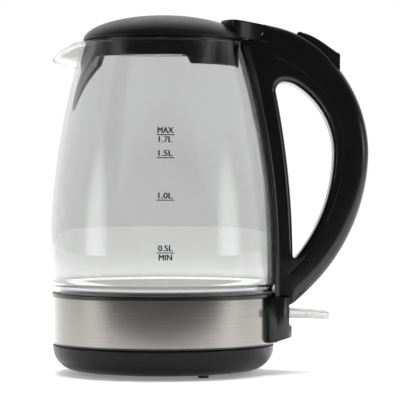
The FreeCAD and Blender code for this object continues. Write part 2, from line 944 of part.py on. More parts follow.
def socket_point(height):
    """A place on the round socket that the lid's knuckle turns in, on its handle side."""
    radius = d.knuckle_radius + d.slide_gap
    rise = height - d.hinge_z
    return d.hinge_x + root(radius * radius - rise * rise), height


def strap_clearance(body):
    """Cut the room for the jug's glass and upper ring out of a moulding."""
    gap = new_sketch(body, "XZ_Plane")
    ring_radius = d.base_radius + d.ring_overhang + d.strap_gap
    draw(
        gap,
        (0, d.band_top - 1),
        (ring_radius, d.band_top - 1),
        (ring_radius, d.ring_top + d.strap_gap),
        (d.jug_radius + d.strap_gap, d.ring_top + d.strap_gap),
        (d.jug_radius + d.strap_gap, d.shoulder_height),
        (d.neck_radius + d.strap_gap, d.rim_height, d.wall_arc + d.strap_gap, LEFT),
        (d.neck_radius + d.strap_gap, d.strap_top + 1),
        (0, d.strap_top + 1),
    )
    turn(body, "Groove", gap)


def on_side(edge, half_width):
    """Whether an edge lies in one of the moulding's flat sides."""
    places = (edge.valueAt(edge.FirstParameter), middle(edge), edge.valueAt(edge.LastParameter))
    return all(abs(abs(place.y) - half_width) < 1e-3 for place in places)


def finger_opening(sketch):
    """The hole that the fingers go through."""
    points = handle_points()
    corner_x = d.neck_radius + 26.7
    draw(
        sketch,
        (d.strap_back, d.opening_low + 2),
        (corner_x - 5.1, d.opening_high - 6.9, d.wall_arc + d.strap_depth + 67, LEFT),
        (corner_x, d.opening_high, d.opening_corner_round, RIGHT),
        (*points["opening_lead"], d.opening_lead_arc, RIGHT),
        (*points["opening_middle"], d.opening_upper_arc, RIGHT),
        (*points["opening_low"], d.opening_lower_arc, RIGHT),
        (d.strap_back, d.opening_low + 2, d.opening_tip_round, RIGHT),
    )


def handle_frame():
    """The inner half of the handle: the strap along the glass, the grip's inner skin, the hinge post."""
    body = new_body("handle_frame")
    points = handle_points()
    side = new_sketch(body, "XZ_Plane")
    strap_low = d.band_top + d.slide_gap
    draw(
        side,
        (d.neck_radius - 5, strap_low),
        (d.housing_back, strap_low),
        points["seam_low"],
        (*points["seam_middle"], d.seam_lower_arc, LEFT),
        (*points["seam_top"], d.seam_upper_arc, LEFT),
        points["seam_step"],
        points["seam_corner"],
        socket_point(d.strap_top),
        (d.neck_radius - 5, d.strap_top),
    )
    pad(body, side, d.handle_width, both_ways=True)
    opening = new_sketch(body, "XZ_Plane")
    finger_opening(opening)
    pocket(body, opening, 2 * d.handle_width, both_ways=True)
    strap_clearance(body)
    hollow = new_sketch(body, "XZ_Plane")
    wall = d.handle_wall
    middle = points["opening_middle"]
    high = d.middle_z + d.hollow_climb
    low = d.middle_z - d.hollow_drop
    low_x = arc_reach(points["opening_low"], middle, d.opening_lower_arc, low, wall)
    draw(
        hollow,
        (arc_reach(middle, points["opening_lead"], d.opening_upper_arc, high, wall), high),
        (middle[0] + wall, d.middle_z, d.opening_upper_arc + wall, RIGHT),
        (low_x, low, d.opening_lower_arc + wall, RIGHT),
        (d.grip_x, low),
        (d.grip_x, high),
    )
    pocket(body, hollow, d.handle_width - 2 * wall, both_ways=True)
    for inner, height in handle_screw_seats():
        seat = new_sketch(body, "YZ_Plane", inner + d.screw_head_height)
        pocket(body, draw_circle(seat, 0, height, d.screw_head_radius + d.slide_gap), 10.0)
        hole = new_sketch(body, "YZ_Plane", inner + 8)
        pocket(body, draw_circle(hole, 0, height, d.screw_radius + d.pin_gap), 10.0)
    duct = new_sketch(body, "XZ_Plane")
    near = d.strap_gap + 0.5 * d.strap_depth - d.tube_radius - d.slide_gap
    far = d.strap_gap + 0.5 * d.strap_depth + d.tube_radius + d.slide_gap
    duct_top = d.rim_height - 12
    draw(
        duct,
        (d.jug_radius + near, strap_low),
        (d.jug_radius + far, strap_low),
        (d.jug_radius + far, d.shoulder_height),
        (wall_radius(duct_top, -far), duct_top, d.wall_arc + far, LEFT),
        (wall_radius(duct_top, -near), duct_top),
        (d.jug_radius + near, d.shoulder_height, d.wall_arc + near, RIGHT),
    )
    pocket(body, duct, 2 * (d.tube_radius + d.slide_gap), both_ways=True)
    socket = new_sketch(body, "XZ_Plane")
    draw_circle(socket, d.hinge_x, d.hinge_z, d.knuckle_radius + d.slide_gap)
    pocket(body, socket, 2 * d.handle_width, both_ways=True)
    stem = new_sketch(body, "XZ_Plane")
    eye = d.boss_eye_radius
    draw(
        stem,
        (d.hinge_x - eye, d.strap_top - 1),
        (d.hinge_x + eye, d.strap_top - 1),
        (d.hinge_x + eye, d.hinge_z),
        (d.hinge_x, d.hinge_z + eye, eye, LEFT),
        (d.hinge_x - eye, d.hinge_z, eye, LEFT),
    )
    pad(body, stem, 2 * d.boss_half_width, both_ways=True)
    hole = new_sketch(body, "XZ_Plane")
    draw_circle(hole, d.hinge_x, d.hinge_z, d.hinge_pin_radius)
    pocket(body, hole, 4 * d.boss_half_width, both_ways=True)


def button_window(sketch):
    """The room in the handle's back that the lid button rocks in."""
    left = button_nose()[0] - 2 * d.slide_gap
    right = d.grip_x - 19.3 + d.slide_gap
    top = d.rim_height + 12
    draw(
        sketch,
        (left, top),
        (left, d.rim_height - 1.5),
        (right, d.rim_height - 25.5),
        (right, top),
    )


def button_nose():
    """The front tip of the lid button."""
    return d.neck_radius + 35.8, d.rim_height + 6.4


def handle_cover():
    """The outer half of the handle: a hollow back from the lid's knuckle down to the switch housing."""
    body = new_body("handle_cover")
    points = handle_points()
    side = new_sketch(body, "XZ_Plane")
    top = socket_point(d.hinge_z + 2.6)
    low = socket_point(d.strap_top)
    socket = d.knuckle_radius + d.slide_gap
    draw(
        side,
        low,
        points["seam_corner"],
        points["seam_step"],
        points["seam_top"],
        (*points["seam_middle"], d.seam_upper_arc, RIGHT),
        (*points["seam_low"], d.seam_lower_arc, RIGHT),
        (d.housing_back, d.band_top - 5.9),
        points["outer_end"],
        (*points["outer_middle"], d.outer_lower_arc, LEFT),
        (*points["outer_shoulder"], d.outer_upper_arc, LEFT),
        (*top, d.outer_top_arc, LEFT),
        (*low, socket, RIGHT),
    )
    pad(body, side, d.handle_width, both_ways=True)
    half = 0.5 * d.handle_width.value
    end_x = points["outer_end"][0].value

    def outer_edge(edge):
        place = middle(edge)
        seam = points["seam_middle"][0].value
        return on_side(edge, half) and edge.Length > 20 and (
            place.x > seam + 2 or place.z > points["outer_shoulder"][1].value + 5 or (place.x > end_x + 25)
        )

    round_edges(body, d.outer_edge_round, outer_edge)
    wall = d.handle_wall
    hollow = new_sketch(body, "XZ_Plane")
    out_x, out_z = points["outer_middle"]
    shoulder_x, shoulder_z = points["outer_shoulder"]
    draw(
        hollow,
        (d.neck_radius + 17.5, d.rim_height + 8.2),
        (d.neck_radius + 17.5, d.rim_height - 20),
        (points["seam_middle"][0] - 12, out_z),
        (d.housing_back + 3.5, d.ring_top + 15),
        (d.housing_back + 12.5, d.ring_top + 4),
        (out_x - wall, out_z, d.outer_lower_arc - wall, LEFT),
        (shoulder_x - 0.73 * wall, shoulder_z - 0.68 * wall, d.outer_upper_arc - wall, LEFT),
        (d.neck_radius + 17.5, d.rim_height + 8.2, d.outer_top_arc - wall, LEFT),
    )
    pocket(body, hollow, d.handle_width - 2 * wall - 2.2, both_ways=True)
    for (inner, height), arc in zip(handle_screw_seats(), (d.outer_lower_arc, d.outer_upper_arc)):
        rise = height - d.middle_z
        outer_skin = out_x - arc + root(arc * arc - rise * rise)
        boss_start = inner + 0.5 * d.handle_screw_length
        boss = new_sketch(body, "YZ_Plane", boss_start)
        pad(body, draw_circle(boss, 0, height, d.boss_radius), outer_skin - 0.7 * wall - boss_start)
        hole = new_sketch(body, "YZ_Plane", inner + d.screw_head_height + d.handle_screw_length)
        pocket(body, draw_circle(hole, 0, height, d.screw_radius), d.handle_screw_length)
    window = new_sketch(body, "XZ_Plane")
    button_window(window)
    pocket(body, window, d.button_width + 2 * d.slide_gap, both_ways=True)
    nose_low = d.rim_height + d.latch_rise
    slot = new_sketch(body, "XZ_Plane")
    gap = d.slide_gap
    draw_box(slot, d.hinge_x - 5, d.neck_radius + 20, nose_low - gap, nose_low + d.latch_height + gap)
    pocket(body, slot, d.latch_width + 2 * gap, both_ways=True)


def arc_reach(first, last, radius, height, outwards=0):
    """How far along X an upright arc that bulges towards the handle reaches at a height, moved outwards."""
    across = last[0] - first[0]
    rise = last[1] - first[1]
    square = across * across + rise * rise
    offset = root(radius * radius / square - 0.25)
    centre_x = 0.5 * (first[0] + last[0]) - rise * offset
    centre_z = 0.5 * (first[1] + last[1]) + across * offset
    drop = height - centre_z
    reach = radius + outwards
    return centre_x + root(reach * reach - drop * drop)


def handle_screw_seats():
    """Where each grip screw's head seats, just inside the finger opening."""
    points = handle_points()
    middle = points["opening_middle"]
    low = d.middle_z - d.screw_drop
    high = d.middle_z + d.screw_climb
    return [
        (arc_reach(points["opening_low"], middle, d.opening_lower_arc, low) + 0.4, low),
        (arc_reach(middle, points["opening_lead"], d.opening_upper_arc, high) + 0.4, high),
    ]


def handle_screws():
    """The screws that clamp the two halves of the grip, from inside the finger opening."""
    body = new_body("handle_screws")
    for inner, height in handle_screw_seats():
        head = new_sketch(body, "YZ_Plane", inner)
        pad(body, draw_circle(head, 0, height, d.screw_head_radius), d.screw_head_height)
        shank = new_sketch(body, "YZ_Plane", inner + d.screw_head_height)
        pad(body, draw_circle(shank, 0, height, d.screw_radius), d.handle_screw_length)


def steam_tube():
    """The duct down the strap that brings steam to the switch."""
    body = new_body("steam_tube")
    offset = d.strap_gap + 0.5 * d.strap_depth
    low = d.band_top + 1
    high = d.rim_height - 13
    spine = new_sketch(body, "XZ_Plane")
    first = Vector((d.jug_radius + offset).value, low.value, 0)
    bend = Vector(first.x, d.shoulder_height.value, 0)
    last = Vector(wall_radius(high, -offset).value, high.value, 0)
    line = spine.addGeometry(Part.LineSegment(first, bend))
    arc = spine.addGeometry(arc_through(bend, last, (d.wall_arc + offset).value, LEFT))
    spine.addConstraint(Sketcher.Constraint("Coincident", line, 2, arc, 1))
    pin_point(spine, line, 1, d.jug_radius + offset, low)
    pin_point(spine, line, 2, d.jug_radius + offset, d.shoulder_height)
    pin_point(spine, arc, 2, wall_radius(high, -offset), high)
    bind(spine, "Radius", arc, size=d.wall_arc + offset)
    section = new_sketch(body, "XY_Plane", low)
    draw_circle(section, d.jug_radius + offset, 0, d.tube_radius)
    draw_circle(section, d.jug_radius + offset, 0, d.tube_radius - d.tube_wall)
    doc.recompute()
    pipe = body.newObject("PartDesign::AdditivePipe", "AdditivePipe")
    pipe.Profile = section
    pipe.Spine = (spine, ["Edge1", "Edge2"])
    settle(body, 0.0, True)


# --- switch ---------------------------------------------------------------------------------------


def switch_housing():
    """The block behind the jug that holds the on/off lever, with an insert that fills the steel band."""
    body = new_body("switch_housing")
    low = d.band_bottom + 0.3
    top = d.band_top
    lip = d.housing_back + 2.1
    half = 0.5 * d.housing_width
    bend = d.housing_corner
    plan = new_sketch(body, "XY_Plane", low)
    draw(
        plan,
        (d.base_radius - 15, -half),
        (lip - bend, -half),
        (lip, bend - half, bend, LEFT),
        (lip, half - bend),
        (lip - bend, half, bend, LEFT),
        (d.base_radius - 15, half),
    )
    pad(body, plan, top - low)
    back = new_sketch(body, "XZ_Plane")
    draw(
        back,
        (d.housing_back, top + 1),
        (d.housing_back, d.lever_height - 7),
        (lip - 0.8, d.lever_height - 7),
        (lip + 1, d.lever_height - 8.5),
        (lip + 1, top + 1),
    )
    pocket(body, back, 2 * d.housing_width, both_ways=True)
    underside = new_sketch(body, "XZ_Plane")
    inner_x = d.base_radius - 2
    draw(underside, (inner_x, low), (inner_x, low - 1), (lip + 1, low - 1), (lip + 1, low + 3.9))
    pocket(body, underside, 2 * d.housing_width, both_ways=True)
    around = new_sketch(body, "XZ_Plane")
    draw_box(around, 0, d.base_radius + d.slide_gap, low - 1, top + 1)
    turn(body, "Groove", around)
    insert = new_sketch(body, "XY_Plane", low)
    half = 0.5 * d.insert_width
    inner = d.base_radius - d.band_wall - 2 - d.slide_gap
    inner_x = root(inner * inner - half * half)
    draw(
        insert,
        (inner_x, -half),
        (d.base_radius + 1.4, -half),
        (d.base_radius + 1.4, half),
        (inner_x, half),
        (inner_x, -half, inner, RIGHT),
    )
    pad(body, insert, top - low)
    chamber = new_sketch(body, "XZ_Plane")
    draw_box(chamber, inner - 3, d.housing_back - 3.2, d.lever_height - 8.5, d.lever_height + 8)
    pocket(body, chamber, d.lever_width - 5, both_ways=True)
    slot = new_sketch(body, "XZ_Plane")
    draw_box(slot, d.housing_back - 4, d.housing_back + 5, d.lever_height - 7, d.lever_height + 6.3)
    pocket(body, slot, d.lever_width + 1.2, both_ways=True)
    hole = new_sketch(body, "XZ_Plane")
    draw_circle(hole, d.lever_x, d.lever_height, d.lever_pin_radius)
    pocket(body, hole, d.lever_width + 1, both_ways=True)


def lever_pin():
    """The pin that the lever rocks on."""
    body = new_body("lever_pin")
    pin = new_sketch(body, "XZ_Plane")
    draw_circle(pin, d.lever_x, d.lever_height, d.lever_pin_radius)
    pad(body, pin, d.lever_width + 0.6, both_ways=True)


def switch_lever():
    """The clear on/off lever: a flat blade on a hub."""
    body = new_body("switch_lever")
    root_x = d.housing_back - 2.6
    tip = d.lever_x + d.lever_length
    top = d.lever_height + 3.0
    blade = new_sketch(body, "XZ_Plane")
    end_top = top - 2.1
    draw(
        blade,
        (root_x, top - d.lever_gauge),
        (tip - 1.6, end_top - d.lever_end_gauge),
        (tip, end_top - d.lever_end_gauge + 1.6, 1.6, LEFT),
        (tip, end_top - 1.6),
        (tip - 1.6, end_top, 1.6, LEFT),
        (root_x, top),
    )
    pad(body, blade, d.lever_width, both_ways=True)
    neck = new_sketch(body, "XZ_Plane")
    draw_box(neck, d.lever_x, root_x + 0.5, top - d.lever_gauge + 0.2, top - 0.2)
    pad(body, neck, d.lever_width - 6, both_ways=True)
    hub = new_sketch(body, "XZ_Plane")
    draw_circle(hub, d.lever_x, d.lever_height, d.hub_radius)
    pad(body, hub, d.lever_width - 6, both_ways=True)
    hole = new_sketch(body, "XZ_Plane")
    draw_circle(hole, d.lever_x, d.lever_height, d.lever_pin_radius + d.pin_gap)
    pocket(body, hole, d.lever_width, both_ways=True)


def switch_block():
    """The steam switch inside the jug's skirt, worked by the lever."""
    body = new_body("switch_block")
    outer = d.base_radius - d.band_wall - 2 - 2 * d.slide_gap
    block = new_sketch(body, "XZ_Plane")
    low = d.lever_height - 9
    draw_box(block, outer - 16, outer - 4, low, low + 17)
    pad(body, block, 20.0, both_ways=True)


def indicator_lamp():
    """The lamp that lights the clear lever while the kettle heats."""
    body = new_body("indicator_lamp")
    outer = d.base_radius - d.band_wall - 2 - 2 * d.slide_gap
    lamp = new_sketch(body, "YZ_Plane", outer - 4)
    pad(body, draw_circle(lamp, 0, d.lever_height, 1.5), 3.5)


# --- lid, hinge and neck --------------------------------------------------------------------------


def quarter_oval(radius, low, height):
    """The section of a dome: out along its base and up over its curve."""
    bend = 0.5523
    return (
        (0, low),
        (radius, low),
        (0, low + height, (radius, low + bend * height), (bend * radius, low + height)),
    )


def neck_collar():
    """The black ring in the jug's neck that the lid seats on, open at the spout."""
    inner = d.collar_radius - d.collar_wall
    low = d.rim_height - d.collar_depth
    line = d.rim_height - 12.6
    body = ring(
        "neck_collar",
        (
            (inner, low),
            (d.collar_radius, low),
            (d.collar_radius, line),
            (d.collar_radius - 0.5, line),
            (d.collar_radius - 0.5, line + 0.6),
            (d.collar_radius, line + 0.6),
            (d.collar_radius, d.rim_height),
            (d.collar_flange, d.rim_height),
            (d.collar_flange, d.flange_top),
            (inner, d.flange_top),
        ),
    )
    window = new_sketch(body, "YZ_Plane", -0.74 * d.collar_radius)
    half = 0.62 * d.collar_radius
    draw_box(window, -half, half, low - 1, d.rim_height)
    pocket(body, window, d.collar_radius)
    tongue = new_sketch(body, "XY_Plane", d.rim_height + d.seat_gap)
    reach = d.neck_radius + d.strap_gap
    half = 0.5 * d.handle_width - 1
    edge = root(reach * reach - half * half)
    draw(
        tongue,
        (inner + 1, -half),
        (edge, -half),
        (edge, half, reach, LEFT),
        (inner + 1, half),
    )
    pad(body, tongue, d.flange_height - d.seat_gap)


def spout_filter_wall(body, inset, wall):
    """A curved panel that follows the glass inside the spout."""
    low = d.rim_height - d.filter_drop
    high = d.rim_height - 1
    outer = d.jug_wall + inset
    inner = outer + wall
    section = new_sketch(body, "XZ_Plane")
    draw(
        section,
        (-wall_radius(low, inner), low),
        (-wall_radius(low, outer), low),
        (-wall_radius(high, outer), high, d.wall_arc - outer, RIGHT),
        (-wall_radius(high, inner), high),
        (-wall_radius(low, inner), low, d.wall_arc - inner, LEFT),
    )
    turn(body, "Revolution", section, angle=74.0)


def filter_shield(sketch, inset):
    """The filter's shield shape seen from the spout, moved inwards by an inset."""
    low = d.rim_height - d.filter_drop
    half = 29.5
    draw(
        sketch,
        (-2.5 + 0.35 * inset, low + 1.3 * inset),
        (2.5 - 0.35 * inset, low + 1.3 * inset),
        (half - inset, low + 32),
        (half - inset, d.rim_height - inset),
        (-half + inset, d.rim_height - inset),
        (-half + inset, low + 32),
    )


def spout_filter():
    """The frame that holds the filter mesh across the spout."""
    body = new_body("spout_filter")
    spout_filter_wall(body, d.filter_gap, d.filter_wall)
    start = -0.6 * d.collar_radius
    outside = new_sketch(body, "YZ_Plane", start)
    low = d.rim_height - d.filter_drop
    draw_box(outside, -60, 60, low - 5, d.rim_height + 5)
    filter_shield(outside, 0.0)
    pocket(body, outside, d.jug_radius)
    window = new_sketch(body, "YZ_Plane", start)
    filter_shield(window, d.filter_frame)
    pocket(body, window, d.jug_radius)


def filter_mesh():
    """The fine steel mesh of the spout filter."""
    body = new_body("filter_mesh")
    spout_filter_wall(body, d.filter_gap + 0.5 * (d.filter_wall - d.mesh_wall), d.mesh_wall)
    outside = new_sketch(body, "YZ_Plane", -0.6 * d.collar_radius)
    low = d.rim_height - d.filter_drop
    draw_box(outside, -60, 60, low - 5, d.rim_height + 5)
    filter_shield(outside, d.filter_frame)
    pocket(body, outside, d.jug_radius)


def lid_dome():
    """The lid's domed shell, with a post inside for each screw."""
    body = new_body("lid_dome")
    outer = new_sketch(body, "XZ_Plane")
    draw(outer, *quarter_oval(d.lid_radius, d.lid_base, d.lid_height))
    turn(body, "Revolution", outer)
    inner = new_sketch(body, "XZ_Plane")
    draw(inner, *quarter_oval(d.lid_radius - d.lid_wall, d.lid_base, d.lid_height - d.lid_wall))
    turn(body, "Groove", inner)
    floor = d.lid_base - d.plug_depth + d.plug_wall
    reach = (d.lid_screw_circle + d.boss_radius) / d.lid_radius
    top = d.lid_base + d.lid_height * root(1 - reach * reach) - 0.3
    across, along_y = along(d.lid_screw_circle, 180.0)
    post = new_sketch(body, "XY_Plane", floor)
    post = pad(body, draw_circle(post, across, along_y, d.boss_radius), top - floor)
    repeat_round(body, post, 3)
    hole = new_sketch(body, "XY_Plane", floor)
    hole = pocket(body, draw_circle(hole, across, along_y, d.screw_radius), d.screw_length, reverse=True)
    repeat_round(body, hole, 3, adds=False)


def lid_underside():
    """The plug that closes the jug's neck from inside the lid."""
    floor = d.lid_base - d.plug_depth
    inner = d.plug_radius - d.plug_wall
    body = ring(
        "lid_underside",
        (
            (0, floor),
            (d.plug_radius, floor),
            (d.plug_radius, d.lid_base),
            (d.lid_radius - d.lid_wall - 1.0, d.lid_base),
            (d.lid_radius - d.lid_wall - 1.0, d.lid_base + 1.6),
            (inner, d.lid_base + 1.6),
            (inner, floor + d.plug_wall),
            (0, floor + d.plug_wall),
        ),
    )
    across, along_y = along(d.lid_screw_circle, 180.0)
    hole = new_sketch(body, "XY_Plane", floor)
    draw_circle(hole, across, along_y, d.screw_radius + d.pin_gap)
    hole = pocket(body, hole, d.plug_wall, reverse=True)
    repeat_round(body, hole, 3, adds=False)


def lid_gasket():
    """The silicone ring round the lid's plug."""
    low = d.lid_base - d.plug_depth + 2.4
    ring("lid_gasket", tube_outline(d.plug_radius, d.plug_radius + d.gasket_proud, low, low + 2.2))


def lid_screws():
    """The screws that hold the plug to the dome."""
    head = d.lid_base - d.plug_depth - d.screw_head_height
    screws("lid_screws", d.lid_screw_circle, 180.0, 3, head, d.plug_wall + 7)


def lid_arm():
    """The arm that joins the dome to the handle and turns in its socket."""
    body = new_body("lid_arm")
    low = d.arm_bottom
    half = 0.5 * d.handle_width
    flare = 0.5 * d.arm_root_width
    end = d.hinge_x + d.knuckle_radius
    shape = new_sketch(body, "XY_Plane", low)
    root_x = d.neck_radius - 5.6
    draw(
        shape,
        (end, -half),
        (end, half),
        (root_x, flare, (d.hinge_x - 2, half), (root_x + 5, flare)),
        (d.arm_nose, 0, (root_x - 5, flare), (d.arm_nose, 8)),
        (root_x, -flare, (d.arm_nose, -8), (root_x - 5, -flare)),
        (end, -half, (root_x + 5, -flare), (d.hinge_x - 2, -half)),
    )
    pad(body, shape, 20.0)
    top = new_sketch(body, "XZ_Plane")
    lip_x = d.hinge_x + root(d.knuckle_radius * d.knuckle_radius - as_size(2.5) * 2.5)
    low_rise = d.hinge_z - low
    low_x = d.hinge_x + root(d.knuckle_radius * d.knuckle_radius - low_rise * low_rise)
    draw(
        top,
        (d.arm_nose - 5, d.hinge_z + 5.6),
        (lip_x, d.hinge_z + 2.5, 150.0, RIGHT),
        (low_x, low, d.knuckle_radius, RIGHT),
        (end + 5, low - 1),
        (end + 5, low + 30),
        (d.arm_nose - 5, low + 30),
    )
    pocket(body, top, 2 * d.arm_root_width, both_ways=True)
    dome = new_sketch(body, "XZ_Plane")
    oval = quarter_oval(d.lid_radius, d.lid_base, d.lid_height)
    draw(dome, (0, low - 5), (d.lid_radius, low - 5), *oval[1:])
    turn(body, "Groove", dome)
    slot = new_sketch(body, "XZ_Plane")
    eye = d.boss_eye_radius + d.slide_gap
    draw(
        slot,
        (d.hinge_x - eye, low - 1),
        (end + 1, low - 1),
        (end + 1, d.hinge_z + 2.2),
        (d.hinge_x, d.hinge_z + eye),
        (d.hinge_x - eye, d.hinge_z, eye, LEFT),
    )
    pocket(body, slot, 2 * d.slot_half_width, both_ways=True)
    hole = new_sketch(body, "XZ_Plane")
    draw_circle(hole, d.hinge_x, d.hinge_z, d.hinge_pin_radius + d.pin_gap)
    pocket(body, hole, d.handle_width - 3, both_ways=True)


def hinge_pin():
    """The pin through the hinge post and the lid's arm."""
    body = new_body("hinge_pin")
    pin = new_sketch(body, "XZ_Plane")
    draw_circle(pin, d.hinge_x, d.hinge_z, d.hinge_pin_radius)
    pad(body, pin, d.handle_width - 4, both_ways=True)


def lid_spring():
    """The torsion spring beside the hinge post, wound round the pin."""
    body = new_body("lid_spring")
    wire = 0.3
    section = new_sketch(body, "XZ_Plane")
    draw_circle(section, d.hinge_pin_radius + 0.15 + wire, 0, wire)
    coil(body, section, pitch=0.7, height=1.1)
    body.Placement = Placement(Vector(0, 0, 0), Rotation(Vector(1, 0, 0), -90))
    body.setExpression("Placement.Base.x", d.hinge_x.formula)
    body.setExpression("Placement.Base.y", (d.boss_half_width + 0.55).formula)
    body.setExpression("Placement.Base.z", d.hinge_z.formula)


def release_button():
    """The thumb button on the handle's back, which rocks about its front end."""
    body = new_body("release_button")
    nose_x, nose_z = button_nose()
    back = d.grip_x - 19.3
    back_z = d.rim_height - 8.6
    outline = new_sketch(body, "XZ_Plane")
    draw(
        outline,
        (nose_x, nose_z - 12.0),
        (nose_x + 5, nose_z - 13.0),
        (back, d.rim_height - 21.5),
        (back, back_z - 1.4),
        (back - 1.7, back_z + 1.7, 2.4, LEFT),
        (nose_x + 2.6, nose_z + 0.7, (back - 12, back_z + 9.0), (nose_x + 12, nose_z - 1.5)),
        (nose_x, nose_z - 0.9, 1.9, LEFT),
    )
    pad(body, outline, d.button_width, both_ways=True)
    half = 0.5 * d.button_width.value
    floor = d.rim_height.value - 10

    def top_edge(edge):
        return on_side(edge, half) and middle(edge).z > floor and edge.Length > 15 and middle(edge).z > 219

    round_edges(body, 1.5, top_edge)
    belly = new_sketch(body, "XZ_Plane")
    draw(
        belly,
        (nose_x + 7, nose_z - 16),
        (back - 3, d.rim_height - 24),
        (back - 3, back_z - 5),
        (nose_x + 7, nose_z - 6.5),
    )
    pocket(body, belly, d.button_width - 4, both_ways=True)


def button_spring():
    """The spring that lifts the back of the button."""
    body = new_body("button_spring")
    section = new_sketch(body, "XZ_Plane")
    draw_circle(section, 2.2, 0, 0.4)
    coil(body, section, pitch=1.8, height=7.2)
    body.setExpression("Placement.Base.x", (d.grip_x - 30.0).formula)
    body.setExpression("Placement.Base.z", (d.rim_height - 22.5).formula)


def lid_latch():
    """The slider between the button and the lid's knuckle."""
    body = new_body("lid_latch")
    low = d.rim_height + d.latch_rise
    tail = button_nose()[0] - 2.4
    outline = new_sketch(body, "XZ_Plane")
    draw(
        outline,
        (d.hinge_x + 6.4, low),
        (tail - 3, low),
        (tail - 3, low - 6.5),
        (tail, low - 6.5),
        (tail, low + d.latch_height),
        (d.hinge_x + 7.2, low + d.latch_height),
    )
    pad(body, outline, d.latch_width, both_ways=True)


def build():
    """Make every sub-part."""
    for make in (
        base_cover,
        base_plate,
        base_feet,
        cord_gland,
        base_connector,
        base_contacts,
        glass_jug,
        glass_seal,
        heater_plate,
        heat_spreader,
        heating_element,
        control_unit,
        bimetal_disc,
        jug_contacts,
        control_screws,
        jug_bottom_cover,
        steel_band,
        upper_ring,
        handle_frame,
        handle_cover,
        handle_screws,
        steam_tube,
        switch_housing,
        lever_pin,
        switch_lever,
        switch_block,
        indicator_lamp,
        neck_collar,
        spout_filter,
        filter_mesh,
        lid_dome,
        lid_underside,
        lid_gasket,
        lid_screws,
        lid_arm,
        hinge_pin,
        lid_spring,
        release_button,
        button_spring,
        lid_latch,
    ):
        make()
    screws(
        "base_screws",
        d.screw_circle,
        BASE_SCREW_ANGLE,
        FEET,
        d.foot_height,
        d.plate_thickness - d.screw_head_height + d.screw_length,
    )


def check_and_export():
    """Stop on any failed object or bad shape, then write one file for each sub-part."""
    doc.recompute()
    for item in doc.Objects:
        if "Invalid" in item.State or "Error" in item.State:
            raise RuntimeError(f"{item.Name} is {item.State}")
    os.makedirs("parts", exist_ok=True)
    for part in parts:
        if part.Shape.isNull() or not part.Shape.isValid() or part.Shape.Volume <= 0:
            raise RuntimeError(f"{part.Label} has no sound shape")
        part.Shape.exportStep(f"parts/{part.Label}.step")


build()
check_and_export()
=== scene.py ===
import json
import math

import bpy
import numpy as np
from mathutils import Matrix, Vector
from mathutils.geometry import tessellate_polygon


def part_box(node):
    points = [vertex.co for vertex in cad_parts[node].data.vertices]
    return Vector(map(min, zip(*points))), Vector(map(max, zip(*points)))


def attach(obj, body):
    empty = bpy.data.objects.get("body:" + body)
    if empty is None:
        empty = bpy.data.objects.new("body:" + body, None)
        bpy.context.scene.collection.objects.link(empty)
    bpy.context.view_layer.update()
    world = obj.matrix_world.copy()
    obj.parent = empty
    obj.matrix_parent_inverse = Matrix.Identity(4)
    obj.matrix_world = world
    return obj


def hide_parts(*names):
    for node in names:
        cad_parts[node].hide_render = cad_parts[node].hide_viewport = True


# Electric kettle: a glass jug with a steel skirt on a round base, a black lid and handle.
# Shapes are drawn in millimetres and stored in metres; +X is the handle, -X the spout and +Z up.

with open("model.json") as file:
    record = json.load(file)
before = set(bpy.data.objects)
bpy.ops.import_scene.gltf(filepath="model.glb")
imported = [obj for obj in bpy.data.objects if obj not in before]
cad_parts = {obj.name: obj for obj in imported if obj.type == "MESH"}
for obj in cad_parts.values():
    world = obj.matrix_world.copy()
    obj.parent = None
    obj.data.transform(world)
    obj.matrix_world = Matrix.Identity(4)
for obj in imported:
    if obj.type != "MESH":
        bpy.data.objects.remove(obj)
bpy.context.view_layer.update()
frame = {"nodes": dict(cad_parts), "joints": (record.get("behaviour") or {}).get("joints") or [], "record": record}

MM = 0.001
LEFT = 1
RIGHT = -1


def box_mm(node):
    """The lowest and highest corner of a CAD node, in millimetres."""
    low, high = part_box(node)
    return low / MM, high / MM


glass_low, glass_high = box_mm("glass_jug")
lid_high = box_mm("lid_dome")[1]
band_high = box_mm("steel_band")[1]
ring_high = box_mm("upper_ring")[1]
handle_high = box_mm("handle_cover")[1]
lever_high = box_mm("switch_lever")[1]

JUG_RADIUS = glass_high.y
NECK_RADIUS = lid_high.y + 0.1
GLASS_FOOT = glass_low.z
RIM = glass_high.z
GLASS_WALL = 2.8
SHOULDER = GLASS_FOOT + 19.4
HANDLE_HALF = handle_high.y
GRIP_X = handle_high.x
MIDDLE_Z = SHOULDER + 0.5 * (RIM - SHOULDER) + 0.25

LEAN = JUG_RADIUS - NECK_RADIUS
WALL_ARC = (LEAN**2 + (RIM - SHOULDER) ** 2) / (2 * LEAN)
WALL_CENTRE = JUG_RADIUS - WALL_ARC


def wall_radius(height, outwards=0.0):
    """The radius of the glass wall at a height, moved outwards."""
    rise = np.maximum(np.asarray(height, float) - SHOULDER, 0.0)
    return WALL_CENTRE + np.sqrt((WALL_ARC + outwards) ** 2 - rise**2)


def ease(share):
    """A smooth step from 0 to 1."""
    share = np.clip(share, 0.0, 1.0)
    return share * share * (3 - 2 * share)


# --- materials ------------------------------------------------------------------------------------


